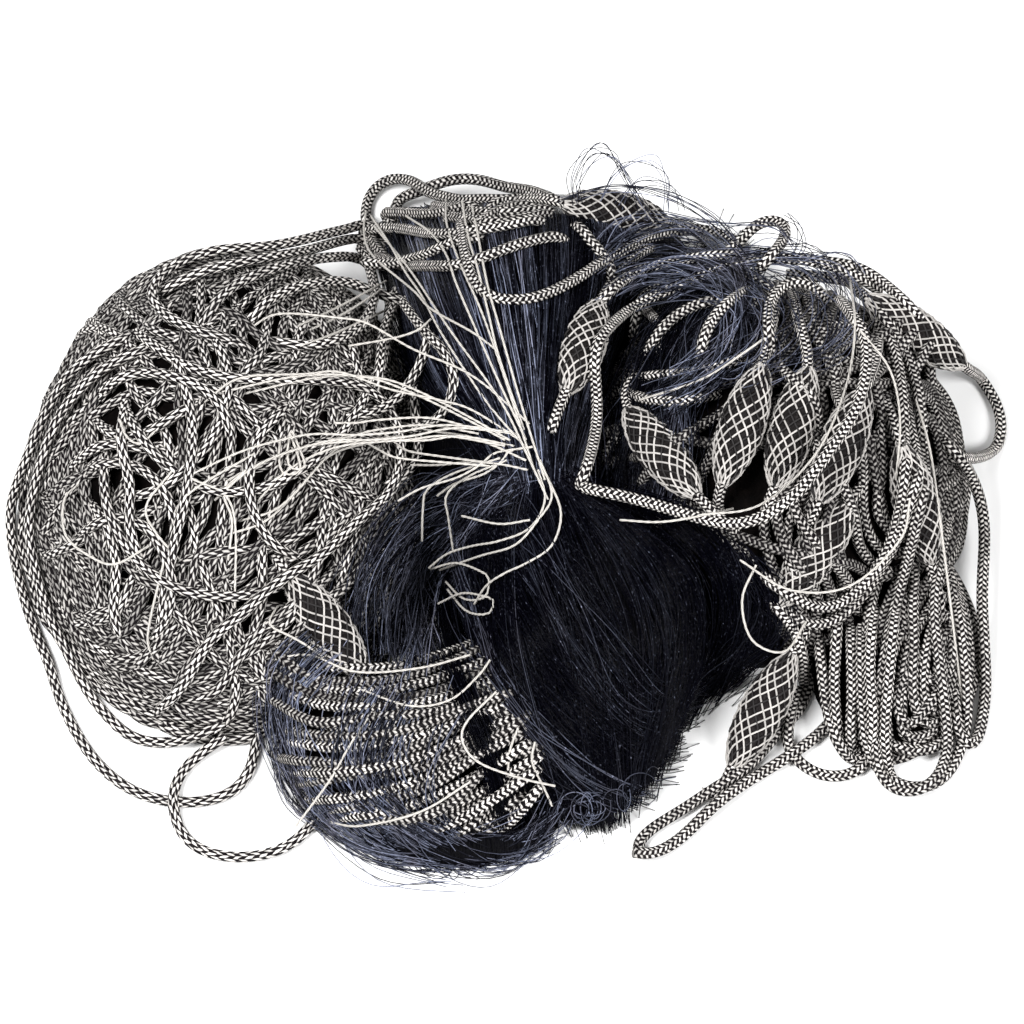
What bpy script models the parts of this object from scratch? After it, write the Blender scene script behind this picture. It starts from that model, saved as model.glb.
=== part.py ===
"""Bundled fishing net: coils of braided lead line and float line, floats and a hank of netting.

Metres, +Z up.  The origin is under the middle of the bundle, on the surface that it lies on.
Run with: blender --background --python part.py
"""
import math
from collections import namedtuple

import bmesh
import bpy
from mathutils import Vector
from mathutils.bvhtree import BVHTree

# Lines, floats and twine
LEAD_LINE_DIAMETER = 0.0050
FLOAT_LINE_DIAMETER = 0.0054
TWINE_DIAMETER = 0.0020
KNOT_DIAMETER = 0.0100
KNOT_SEGMENTS = 10
KNOT_RINGS = 6
FLOAT_LENGTH = 0.0560
FLOAT_DIAMETER = 0.0210
FLOAT_SIDES = 10
FLOAT_STATIONS = 6
FLOAT_FULLNESS = 0.62
TOUCH_GAP = 0.0004
CUTTER_DEPTH = 0.003
FLOOR_CLEARANCE = 0.0001

# Spacing of the points along a line, and the sides that a tube has
LINE_STEP = 0.019
CAST_STEP = 0.005
EASE_PASSES = 9
TWINE_STEP = 0.009
LINE_SIDES_RESOLUTION = 1
TWINE_SIDES_RESOLUTION = 0
WELD_DISTANCE = 0.000001
TINY = 1e-9
SMOOTH_ANGLE = math.radians(55.0)

# The view that the routes below are read in: a place is given by the column and
# row where that view shows it, in a square picture, and lies on the heap there.
VIEW_ELEVATION = math.radians(58.0)
VIEW_DISTANCE = 2.2
VIEW_CENTRE_HEIGHT = 0.045
PICTURE_MIDDLE = 512.0
PIXEL = 0.000455
SEARCH_TOP = 0.170
SEARCH_STEP = 0.0015
LEAN = 0.012
SLANT_STEP = 0.002
STEEPEST = 3.0

# A heap of turns is a dome with a flat base: fullness 0.5 is an ellipsoid, more is peaked.
# Its rings stand out in turn, as the line wound round it does.
Mound = namedtuple("Mound", "x y half_width half_depth height fullness rings segments")
LEAD_MOUND = Mound(-0.131, 0.036, 0.100, 0.134, 0.105, 0.58, 22, 24)
FLOAT_MOUND = Mound(0.120, 0.040, 0.098, 0.108, 0.104, 0.58, 22, 24)
FLOAT_TAIL_MOUND = Mound(0.170, -0.042, 0.048, 0.072, 0.042, 0.55, 8, 16)
WRAP_MOUND = Mound(-0.046, -0.103, 0.064, 0.053, 0.054, 0.55, 10, 20)
SKIRT_MOUND = Mound(-0.044, -0.117, 0.070, 0.048, 0.017, 0.55, 4, 20)
TURN_RIDGE = 0.0040

# The netting is combed into one hank that runs from the back over the middle to the front
Section = namedtuple("Section", "y x half_width height")
HANK_SECTIONS = (
    Section(0.202, 0.008, 0.046, 0.010),
    Section(0.188, 0.011, 0.064, 0.030),
    Section(0.165, 0.014, 0.074, 0.056),
    Section(0.140, 0.009, 0.066, 0.079),
    Section(0.110, 0.001, 0.055, 0.093),
    Section(0.070, -0.003, 0.047, 0.097),
    Section(0.020, 0.000, 0.041, 0.089),
    Section(-0.012, 0.016, 0.044, 0.084),
    Section(-0.040, 0.038, 0.060, 0.081),
    Section(-0.080, 0.031, 0.052, 0.069),
    Section(-0.108, 0.027, 0.044, 0.050),
    Section(-0.128, 0.025, 0.036, 0.028),
    Section(-0.140, 0.024, 0.026, 0.012),
)
HANK_ROUNDNESS = 2.4
STRAND_LOCKS = 17
LOCK_DEPTH = 0.0030
LOCK_TWIST = 2.6
LOCK_WANDER = 0.9

# Turns of line that show: lie is "heap" where a turn rests on the heap under it and
# "floor" where it lies flat, sink is the share of its radius that is pressed in
Turn = namedtuple("Turn", "lie sink seen")
LEAD_TURNS = (
    Turn("heap", 0.2, ((346, 228), (278, 245), (209, 251), (170, 268), (150, 290), (163, 313),
                       (202, 333), (248, 346))),
    Turn("heap", 0.15, ((137, 333), (98, 352), (65, 379), (39, 428), (20, 477), (10, 509),
                       (16, 558), (23, 591), (36, 633), (49, 662), (60, 700))),
    Turn("floor", 0.0, ((52, 668), (60, 700), (90, 755), (130, 790), (180, 803), (230, 795),
                        (252, 768), (258, 728))),
    Turn("heap", 0.2, ((157, 343), (98, 372), (62, 411), (42, 460), (30, 509), (30, 542),
                       (46, 607), (66, 646), (95, 700), (135, 740), (190, 738), (240, 712))),
    Turn("heap", 0.1, ((137, 333), (183, 365), (229, 379), (294, 379), (359, 385), (392, 411),
                       (402, 444), (392, 490), (359, 519), (327, 552), (278, 581), (242, 614),
                       (209, 640), (180, 690), (150, 716))),
    Turn("heap", 0.15, ((340, 255), (348, 290), (338, 330), (300, 352), (248, 358))),
    Turn("heap", 0.1, ((392, 285), (387, 330), (376, 380), (345, 430), (300, 470), (250, 492),
                       (196, 486), (150, 450), (120, 400))),
    Turn("floor", 0.0, ((225, 735), (182, 770), (172, 805), (190, 845), (240, 858), (290, 846),
                        (322, 812))),
)
FLOAT_TURNS = (
    Turn("heap", 0.1, ((378, 262), (368, 232), (366, 200), (383, 182), (405, 180), (424, 192),
                       (446, 212))),
    Turn("heap", 0.1, ((372, 215), (400, 196), (430, 187), (470, 180), (520, 186), (548, 198),
                       (566, 212))),
    Turn("heap", 0.2, ((382, 252), (410, 262), (450, 260), (500, 250), (545, 242), (600, 232))),
    Turn("heap", 0.2, ((470, 262), (485, 290), (520, 302), (560, 292), (600, 272), (640, 245),
                       (690, 228), (735, 240), (762, 266))),
    Turn("heap", 0.15, ((735, 262), (748, 230), (775, 216), (790, 226), (778, 248), (758, 270))),
    Turn("heap", 0.1, ((590, 480), (592, 430), (597, 380), (620, 330), (660, 300), (700, 285),
                       (745, 262), (790, 258), (840, 268), (880, 290))),
    Turn("heap", 0.0, ((850, 268), (885, 268), (915, 300), (950, 345), (985, 375), (1000, 415),
                       (998, 448), (972, 462))),
    Turn("heap", 0.2, ((585, 488), (640, 500), (690, 515), (740, 525), (790, 500), (830, 450),
                       (860, 400), (866, 340), (840, 300))),
    Turn("heap", 0.15, ((870, 300), (905, 350), (922, 420), (917, 520), (897, 600), (882, 680),
                       (876, 760), (892, 790), (926, 790), (948, 760), (942, 690), (934, 600),
                       (947, 520))),
    Turn("heap", 0.15, ((862, 620), (862, 700), (872, 762), (905, 790), (940, 782), (964, 740),
                       (966, 670), (955, 590))),
    Turn("heap", 0.15, ((970, 470), (985, 520), (982, 600), (985, 690), (975, 752), (960, 742),
                       (952, 680))),
    Turn("floor", 0.0, ((815, 670), (795, 715), (765, 746), (740, 772), (700, 800), (655, 826),
                        (632, 846), (640, 856))),
    Turn("floor", 0.0, ((634, 852), (648, 857), (682, 838), (712, 806), (745, 782), (790, 756),
                        (830, 724), (850, 690))),
    Turn("floor", 0.0, ((800, 690), (785, 742), (808, 770), (838, 778), (868, 762), (880, 715))),
)
WRAP_TURNS = (
    Turn("heap", 0.15, ((262, 622), (285, 652), (330, 668), (390, 672), (440, 662), (480, 648))),
    Turn("heap", 0.15, ((266, 655), (300, 690), (360, 700), (420, 698), (480, 682), (510, 668))),
    Turn("heap", 0.15, ((270, 700), (310, 726), (370, 732), (430, 726), (500, 706))),
    Turn("heap", 0.15, ((278, 738), (320, 762), (380, 763), (440, 750), (518, 724))),
    Turn("heap", 0.15, ((298, 778), (345, 793), (400, 788), (460, 768), (528, 742))),
    Turn("heap", 0.15, ((328, 816), (380, 820), (430, 805), (490, 777), (536, 752))),
)

# Floats: where the two tips show, and how high the middle stands over the heap
Float = namedtuple("Float", "tip_a tip_b lift")
FLOATS = (
    Float((560, 203), (668, 222), 0.006),
    Float((603, 292), (562, 402), 0.004),
    Float((622, 404), (702, 502), 0.006),
    Float((762, 366), (722, 484), 0.006),
    Float((808, 372), (776, 484), 0.001),
    Float((862, 396), (822, 494), 0.004),
    Float((872, 302), (958, 362), 0.004),
    Float((902, 448), (930, 560), 0.004),
    Float((792, 655), (732, 768), 0.004),
)
LEAD_IN = 0.030
TIP_OVERLAP = 0.002

# Twine that hangs from the lines, drawn together in one knot over the neck of the netting
TWINE_KNOT_SEEN = (530, 452)
TWINE_ENDS_SEEN = (
    ((374, 226), (430, 300), (486, 384)),
    ((442, 216), (462, 290), (498, 380)),
    ((520, 232), (508, 300), (520, 380)),
    ((205, 402), (300, 376), (390, 388), (460, 418)),
    ((190, 478), (262, 446), (340, 436), (440, 446)),
    ((344, 560), (400, 520), (470, 480)),
    ((590, 596), (566, 540), (546, 490)),
)
TWINE_LIFT = 0.004
TWINE_CHECKS = 4
TAUT_PASSES = 60

# Colours as the whole surface reads from a step away
Finish = namedtuple("Finish", "name colour roughness")
LINE_BRAID = Finish("line_braid", (0.40, 0.38, 0.36), 0.75)
FLOAT_BODY = Finish("float_body", (0.10, 0.09, 0.09), 0.60)
NETTING = Finish("netting", (0.02, 0.025, 0.05), 0.45)
TWINE = Finish("twine", (0.80, 0.78, 0.73), 0.70)


def clear_scene():
    for old in list(bpy.data.objects):
        bpy.data.objects.remove(old, do_unlink=True)


def make_collection(name):
    group = bpy.data.collections.new(name)
    bpy.context.scene.collection.children.link(group)
    return group


def make_material(surface):
    material = bpy.data.materials.new(surface.name)
    material.use_nodes = True
    shader = material.node_tree.nodes["Principled BSDF"]
    shader.inputs["Base Color"].default_value = (*surface.colour, 1.0)
    shader.inputs["Roughness"].default_value = surface.roughness
    shader.inputs["Metallic"].default_value = 0.0
    return material


def mound_height(mound, x, y):
    across = (x - mound.x) / mound.half_width
    along = (y - mound.y) / mound.half_depth
    inside = 1.0 - across ** 2 - along ** 2
    if inside <= 0.0:
        return 0.0
    return mound.height * inside ** mound.fullness


def hank_section(y):
    """The hank's own section at this depth, or None past its two ends."""
    for back, front in zip(HANK_SECTIONS, HANK_SECTIONS[1:]):
        if front.y <= y <= back.y:
            share = (back.y - y) / (back.y - front.y)
            values = (a + (b - a) * share for a, b in zip(back, front))
            return Section(*values)
    return None


def hank_height(x, y):
    section = hank_section(y)
    if section is None:
        return 0.0
    across = abs(x - section.x) / section.half_width
    if across >= 1.0:
        return 0.0
    return section.height * (1.0 - across ** HANK_ROUNDNESS) ** (1.0 / HANK_ROUNDNESS)


def heap_height(x, y):
    mounds = (LEAD_MOUND, FLOAT_MOUND, FLOAT_TAIL_MOUND, WRAP_MOUND, SKIRT_MOUND)
    return max(hank_height(x, y), *(mound_height(mound, x, y) for mound in mounds))


def slant(x, y):
    """How much longer the way straight down to the heap is than the way across its skin."""
    step = SLANT_STEP
    rise_x = (heap_height(x + step, y) - heap_height(x - step, y)) / (2.0 * step)
    rise_y = (heap_height(x, y + step) - heap_height(x, y - step)) / (2.0 * step)
    return min(math.sqrt(1.0 + rise_x ** 2 + rise_y ** 2), STEEPEST)


def sight_point(column, row, height):
    """The place at this height that the reference view shows at this column and row."""
    across = (column - PICTURE_MIDDLE) * PIXEL
    up = (PICTURE_MIDDLE - row) * PIXEL
    rise = height - VIEW_CENTRE_HEIGHT
    sine = math.sin(VIEW_ELEVATION)
    cosine = math.cos(VIEW_ELEVATION)
    y = up * VIEW_DISTANCE - rise * (VIEW_DISTANCE * cosine + up * sine)
    y /= VIEW_DISTANCE * sine - up * cosine
    x = across * (VIEW_DISTANCE + y * cosine - rise * sine) / VIEW_DISTANCE
    return Vector((x, y, height))


def laid_point(column, row, radius, lift):
    """Where a line seen at this column and row rests on the heap, or on the floor beside it."""
    nearest = None
    nearest_gap = LEAN
    height = SEARCH_TOP
    while height > radius:
        point = sight_point(column, row, height)
        under = heap_height(point.x, point.y)
        gap = height - under - lift * slant(point.x, point.y)
        if under > 0.0 and gap < nearest_gap:
            nearest = point
            nearest_gap = gap
        if under > 0.0 and gap <= 0.0:
            return point
        height -= SEARCH_STEP
    return nearest or sight_point(column, row, radius)


def smooth_route(seen):
    """A smooth curve through picture points."""
    points = [Vector(place) for place in seen]
    first = points[0] * 2.0 - points[1]
    last = points[-1] * 2.0 - points[-2]
    padded = [first, *points, last]
    fine = []
    for a, b, c, d in zip(padded, padded[1:], padded[2:], padded[3:]):
        for share in (0.0, 0.2, 0.4, 0.6, 0.8):
            even = 2.0 * b + (c - a) * share
            bend = (2.0 * a - 5.0 * b + 4.0 * c - d) * share ** 2
            close = (3.0 * b - a - 3.0 * c + d) * share ** 3
            fine.append((even + bend + close) * 0.5)
    fine.append(points[-1])
    return fine


def path_length(points):
    return sum((Vector(b) - Vector(a)).length for a, b in zip(points, points[1:]))


def spaced_points(points, step_count):
    """The same path with evenly spaced points."""
    lengths = [0.0]
    for a, b in zip(points, points[1:]):
        lengths.append(lengths[-1] + (b - a).length)
    spaced = []
    index = 0
    for number in range(step_count + 1):
        wanted = lengths[-1] * number / step_count
        while index < len(points) - 2 and lengths[index + 1] < wanted:
            index += 1
        share = (wanted - lengths[index]) / (lengths[index + 1] - lengths[index] + TINY)
        spaced.append(points[index].lerp(points[index + 1], share))
    return spaced


def eased_points(points, passes):
    for _ in range(passes):
        eased = [points[0]]
        for a, b, c in zip(points, points[1:], points[2:]):
            eased.append(a * 0.25 + b * 0.5 + c * 0.25)
        eased.append(points[-1])
        points = eased
    return points


def line_points(turn, diameter):
    """The middle line of one turn, in metres."""
    radius = diameter / 2.0 + FLOOR_CLEARANCE
    count = max(8, round(path_length(turn.seen) * PIXEL / CAST_STEP))
    places = spaced_points(smooth_route(turn.seen), count)
    if turn.lie == "floor":
        points = [sight_point(place.x, place.y, radius) for place in places]
    else:
        lift = radius * (1.0 - 2.0 * turn.sink)
        points = [laid_point(place.x, place.y, radius, lift) for place in places]
        points = eased_points(points, EASE_PASSES)
    points = spaced_points(points, max(4, round(path_length(points) / LINE_STEP)))
    for point in points:
        point.z = max(point.z, radius)
    return points


def solid_from(source, name, group, weld=True):
    """A closed mesh object from any object as Blender shows it; the source is removed."""
    bpy.context.view_layer.update()
    depsgraph = bpy.context.evaluated_depsgraph_get()
    mesh = bpy.data.meshes.new_from_object(source.evaluated_get(depsgraph))
    if weld:
        work = bmesh.new()
        work.from_mesh(mesh)
        bmesh.ops.remove_doubles(work, verts=work.verts, dist=WELD_DISTANCE)
        work.to_mesh(mesh)
        work.free()
    solid = bpy.data.objects.new(name, mesh)
    solid.matrix_world = source.matrix_world.copy()
    group.objects.link(solid)
    bpy.data.objects.remove(source, do_unlink=True)
    return solid


def tube(points, diameter, grow, sides_resolution, name, group):
    """A closed tube along the points; grow makes it thicker and longer on every side."""
    if grow > 0.0:
        first = points[0] + (points[0] - points[1]).normalized() * grow
        last = points[-1] + (points[-1] - points[-2]).normalized() * grow
        points = [first, *points[1:-1], last]
    curve = bpy.data.curves.new(name, "CURVE")
    curve.dimensions = "3D"
    curve.bevel_depth = diameter / 2.0 + grow
    curve.bevel_resolution = sides_resolution
    curve.use_fill_caps = True
    spline = curve.splines.new("POLY")
    spline.points.add(len(points) - 1)
    for control, point in zip(spline.points, points):
        control.co = (*point, 1.0)
    source = bpy.data.objects.new(name + "_path", curve)
    group.objects.link(source)
    solid = solid_from(source, name, group)
    if grow == 0.0:
        for vert in solid.data.vertices:
            vert.co.z = max(vert.co.z, FLOOR_CLEARANCE)
    return solid


def dome(mound, grow, name, group):
    """A heap of turns: a half sphere drawn out to the mound, its rings raised as turns."""
    work = bmesh.new()
    bmesh.ops.create_uvsphere(work, u_segments=mound.segments, v_segments=mound.rings * 2,
                              radius=1.0)
    lower = [vert for vert in work.verts if vert.co.z < -0.5 / mound.rings]
    bmesh.ops.delete(work, geom=lower, context="VERTS")
    for vert in work.verts:
        level = max(0.0, min(1.0, vert.co.z))
        ring = round(math.asin(level) / (math.pi / 2.0) * mound.rings)
        ridge = TURN_RIDGE / 2.0 if ring % 2 else -TURN_RIDGE / 2.0
        if ring == 0:
            ridge = 0.0
        outward = vert.co.normalized() * (ridge + grow)
        vert.co.x = mound.x + vert.co.x * mound.half_width + outward.x
        vert.co.y = mound.y + vert.co.y * mound.half_depth + outward.y
        vert.co.z = mound.height * level ** (2.0 * mound.fullness) + outward.z
        if ring == 0:
            vert.co.z = 0.0
    rim = [edge for edge in work.edges if edge.is_boundary]
    if grow > 0.0:
        below = bmesh.ops.extrude_edge_only(work, edges=rim)["geom"]
        rim = [part for part in below if isinstance(part, bmesh.types.BMEdge)]
        verts = [part for part in below if isinstance(part, bmesh.types.BMVert)]
        bmesh.ops.translate(work, vec=(0.0, 0.0, -CUTTER_DEPTH), verts=verts)
    bmesh.ops.contextual_create(work, geom=rim)
    bmesh.ops.recalc_face_normals(work, faces=work.faces)
    mesh = bpy.data.meshes.new(name)
    work.to_mesh(mesh)
    work.free()
    solid = bpy.data.objects.new(name, mesh)
    group.objects.link(solid)
    return solid


def hank(name, group):
    """The netting's hank: a loft of its sections, with a raised lock for each bundle of strands."""
    work = bmesh.new()
    columns = STRAND_LOCKS * 2
    loops = []
    for number, row in enumerate(HANK_SECTIONS):
        loop = []
        drift = LOCK_TWIST * math.sin(number * LOCK_WANDER)
        for column in range(columns + 1):
            angle = math.pi * column / columns
            power = 2.0 / HANK_ROUNDNESS
            across = math.copysign(abs(math.cos(angle)) ** power, math.cos(angle))
            rise = math.sin(angle) ** power if 0 < column < columns else 0.0
            lock = LOCK_DEPTH * (0.5 + 0.5 * math.sin(angle * STRAND_LOCKS + drift))
            shrink = 1.0 - lock / max(row.half_width, row.height)
            if column in (0, columns):
                shrink = 1.0
            x = row.x + across * row.half_width * shrink
            loop.append(work.verts.new((x, row.y, row.height * rise * shrink)))
        loops.append(loop)
    for back, front in zip(loops, loops[1:]):
        for column in range(columns):
            work.faces.new((back[column], back[column + 1], front[column + 1], front[column]))
        work.faces.new((back[columns], back[0], front[0], front[columns]))
    work.faces.new(loops[0])
    work.faces.new(loops[-1])
    bmesh.ops.recalc_face_normals(work, faces=work.faces)
    mesh = bpy.data.meshes.new(name)
    work.to_mesh(mesh)
    work.free()
    solid = bpy.data.objects.new(name, mesh)
    group.objects.link(solid)
    return solid


def combine(base, others, operation, group):
    """One Boolean of the base with every object in the list, which are then removed.

    The EXACT solver leaves open edges where many turns meet, so this is the MANIFOLD one.
    """
    tools = bpy.data.collections.new(base.name + "_tools")
    for other in others:
        tools.objects.link(other)
    boolean = base.modifiers.new(operation.title(), "BOOLEAN")
    boolean.operation = operation
    boolean.operand_type = "COLLECTION"
    boolean.solver = "MANIFOLD"
    boolean.collection = tools
    name = base.name
    base.name = name + "_raw"
    result = solid_from(base, name, group, weld=False)
    for other in others:
        bpy.data.objects.remove(other, do_unlink=True)
    bpy.data.collections.remove(tools)
    return result


def keep_largest(solid):
    """Drop the loose crumbs that a cut leaves beside the main body."""
    work = bmesh.new()
    work.from_mesh(solid.data)
    unseen = set(work.verts)
    bodies = []
    while unseen:
        front = [unseen.pop()]
        body = list(front)
        while front:
            vert = front.pop()
            for edge in vert.link_edges:
                other = edge.other_vert(vert)
                if other in unseen:
                    unseen.remove(other)
                    body.append(other)
                    front.append(other)
        bodies.append(body)
    bodies.sort(key=len)
    for body in bodies[:-1]:
        bmesh.ops.delete(work, geom=body, context="VERTS")
    work.to_mesh(solid.data)
    work.free()


def line_heap(name, mounds, turns, diameter, extra_points, grow, group):
    """A heap of one line: its domes and the turns that show, fused in one body."""
    base = dome(mounds[0], grow, name, group)
    tubes = [dome(mound, grow, name + "_more", group) for mound in mounds[1:]]
    routes = [line_points(turn, diameter) for turn in turns] + extra_points
    for number, points in enumerate(routes):
        tube_name = name + "_turn_" + str(number)
        tubes.append(tube(points, diameter, grow, LINE_SIDES_RESOLUTION, tube_name, group))
    return combine(base, tubes, "UNION", group)


def float_pose(place):
    """The middle of a float and the direction of its length."""
    radius = FLOAT_DIAMETER / 2.0
    tips = [laid_point(*tip, FLOAT_LINE_DIAMETER / 2.0, place.lift)
            for tip in (place.tip_a, place.tip_b)]
    middle = (tips[0] + tips[1]) / 2.0
    middle.z = max(middle.z, radius)
    direction = (tips[1] - tips[0]).normalized()
    return middle, direction


def spindle(place, grow, name, group):
    """A float: a turned spindle, fat in the middle and drawn in to the line at both tips."""
    profile = []
    half = FLOAT_LENGTH / 2.0
    for station in range(FLOAT_STATIONS + 1):
        share = 2.0 * station / FLOAT_STATIONS - 1.0
        fat = max(0.0, math.cos(share * math.pi / 2.0)) ** FLOAT_FULLNESS
        reach = FLOAT_LINE_DIAMETER / 2.0
        radius = reach + (FLOAT_DIAMETER / 2.0 - reach) * fat
        profile.append((radius + grow, -share * (half + grow)))
    mesh = bpy.data.meshes.new(name + "_profile")
    verts = [(0.0, 0.0, profile[0][1])]
    verts.extend((radius, 0.0, along) for radius, along in profile)
    verts.append((0.0, 0.0, profile[-1][1]))
    edges = [(index, index + 1) for index in range(len(verts) - 1)]
    mesh.from_pydata(verts, edges, [])
    source = bpy.data.objects.new(name + "_profile", mesh)
    group.objects.link(source)
    screw = source.modifiers.new("Turned", "SCREW")
    screw.steps = FLOAT_SIDES
    screw.render_steps = FLOAT_SIDES
    screw.use_merge_vertices = True
    screw.merge_threshold = WELD_DISTANCE
    middle, direction = float_pose(place)
    source.rotation_mode = "QUATERNION"
    source.rotation_quaternion = direction.to_track_quat("Z", "Y")
    source.location = middle
    return solid_from(source, name, group)


def lead_ins(place):
    """The line runs on from both tips of a float and goes down into the heap."""
    middle, direction = float_pose(place)
    runs = []
    for side in (-1.0, 1.0):
        tip = middle + direction * side * (FLOAT_LENGTH / 2.0 - TIP_OVERLAP)
        points = [tip]
        for share in (0.4, 0.7, 1.0):
            point = tip + direction * side * LEAD_IN * share
            surface = heap_height(point.x, point.y)
            rest = max(surface, FLOAT_LINE_DIAMETER / 2.0 + FLOOR_CLEARANCE)
            point.z = point.z + (rest - point.z) * share ** 2
            points.append(point)
        runs.append(points)
    return runs


def twine_points(seen, knot, top_of):
    """One strand of twine, drawn taut over what lies under it, from its end to the knot."""
    route = (*seen, TWINE_KNOT_SEEN)
    count = max(6, round(path_length(route) * PIXEL / TWINE_STEP))
    places = spaced_points(smooth_route(route), count)
    radius = TWINE_DIAMETER / 2.0
    points = [laid_point(place.x, place.y, radius, TWINE_LIFT) for place in places]
    points[-1] = knot.copy()
    reach = radius + TOUCH_GAP

    def lowest_at(point):
        spots = [top_of(point.x + shift * reach, point.y + push * reach)
                 for shift in (-1.0, 0.0, 1.0) for push in (-1.0, 0.0, 1.0)]
        return max(spots) + reach

    for point in points[:-1]:
        point.z = lowest_at(point)
    lowest = [point.z for point in points]
    between = []
    for a, b in zip(points, points[1:]):
        spots = [a.lerp(b, share / TWINE_CHECKS) for share in range(1, TWINE_CHECKS)]
        between.append([lowest_at(spot) for spot in spots])
    for _ in range(TAUT_PASSES):
        for index in range(1, len(points) - 1):
            level = (points[index - 1].z + points[index + 1].z) / 2.0
            points[index].z = max(level, lowest[index])
        for index, spots in enumerate(between):
            a, b = points[index], points[index + 1]
            for number, height in enumerate(spots):
                missing = height - (a.z + (b.z - a.z) * (number + 1) / TWINE_CHECKS)
                if missing > 0.0:
                    a.z += missing
                    b.z += missing if index + 2 < len(points) else 0.0
    return points


def hanging_twine(solids, name, group):
    trees = []
    for solid in solids:
        work = bmesh.new()
        work.from_mesh(solid.data)
        work.transform(solid.matrix_world)
        trees.append(BVHTree.FromBMesh(work))
        work.free()

    def top_of(x, y):
        top = 0.0
        for tree in trees:
            place = tree.ray_cast(Vector((x, y, SEARCH_TOP * 2.0)), Vector((0.0, 0.0, -1.0)))[0]
            if place is not None:
                top = max(top, place.z)
        return top

    knot_radius = KNOT_DIAMETER / 2.0
    knot = laid_point(*TWINE_KNOT_SEEN, knot_radius, TWINE_LIFT)
    spots = [top_of(knot.x + shift, knot.y + push)
             for shift in (-knot_radius, 0.0, knot_radius)
             for push in (-knot_radius, 0.0, knot_radius)]
    knot.z = max(spots) + knot_radius + TOUCH_GAP
    work = bmesh.new()
    bmesh.ops.create_uvsphere(work, u_segments=KNOT_SEGMENTS, v_segments=KNOT_RINGS,
                              radius=knot_radius)
    bmesh.ops.translate(work, vec=knot, verts=work.verts)
    mesh = bpy.data.meshes.new(name)
    work.to_mesh(mesh)
    work.free()
    base = bpy.data.objects.new(name, mesh)
    group.objects.link(base)
    strands = []
    for number, seen in enumerate(TWINE_ENDS_SEEN):
        points = twine_points(seen, knot, top_of)
        strand_name = name + "_strand_" + str(number)
        strands.append(tube(points, TWINE_DIAMETER, 0.0, TWINE_SIDES_RESOLUTION, strand_name,
                            group))
    return combine(base, strands, "UNION", group)


def finish(solid, material):
    solid.data.materials.clear()
    solid.data.materials.append(material)
    solid.data.shade_smooth()
    solid.data.set_sharp_from_angle(angle=SMOOTH_ANGLE)


def build():
    clear_scene()
    group = make_collection("fishing_net")
    lead_ins_of_floats = [points for place in FLOATS for points in lead_ins(place)]

    def float_line(name, grow):
        return line_heap(name, (FLOAT_MOUND, FLOAT_TAIL_MOUND), FLOAT_TURNS, FLOAT_LINE_DIAMETER,
                         lead_ins_of_floats, grow, group)

    def lead_line(name, grow):
        return line_heap(name, (LEAD_MOUND,), LEAD_TURNS, LEAD_LINE_DIAMETER, [], grow, group)

    def wrap_line(name, grow):
        return line_heap(name, (WRAP_MOUND,), WRAP_TURNS, LEAD_LINE_DIAMETER, [], grow, group)

    def float_cutters(prefix):
        return [spindle(place, TOUCH_GAP, prefix + str(number), group)
                for number, place in enumerate(FLOATS)]

    floats = [spindle(place, 0.0, "float_" + str(number + 1), group)
              for number, place in enumerate(FLOATS)]
    float_heap = combine(float_line("float_line_heap", 0.0), float_cutters("cut_a_"),
                         "DIFFERENCE", group)
    lead_heap = combine(lead_line("lead_line_heap", 0.0),
                        [float_line("cut_float_line_a", TOUCH_GAP)], "DIFFERENCE", group)
    wrap = combine(wrap_line("lead_line_wrap", 0.0),
                   [lead_line("cut_lead_line_b", TOUCH_GAP),
                    float_line("cut_float_line_b", TOUCH_GAP)], "DIFFERENCE", group)
    netting = combine(hank("net_hank", group),
                      [dome(SKIRT_MOUND, 0.0, "net_skirt", group)], "UNION", group)
    netting = combine(netting,
                      float_cutters("cut_c_") +
                      [lead_line("cut_lead_line_c", TOUCH_GAP),
                       float_line("cut_float_line_c", TOUCH_GAP),
                       wrap_line("cut_wrap_c", TOUCH_GAP)], "DIFFERENCE", group)
    for solid in (float_heap, lead_heap, wrap, netting):
        keep_largest(solid)
    twine = hanging_twine([float_heap, lead_heap, wrap, netting, *floats], "hanging_twine", group)

    line_braid = make_material(LINE_BRAID)
    float_body = make_material(FLOAT_BODY)
    for solid in (float_heap, lead_heap, wrap):
        finish(solid, line_braid)
    for solid in floats:
        finish(solid, float_body)
    finish(netting, make_material(NETTING))
    finish(twine, make_material(TWINE))


build()
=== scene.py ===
"""Looks of the bundled fishing net: braided lines, sleeved floats, netting strands and twine.

Metres, +Z up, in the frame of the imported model.
"""
import math
from collections import namedtuple

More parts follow.
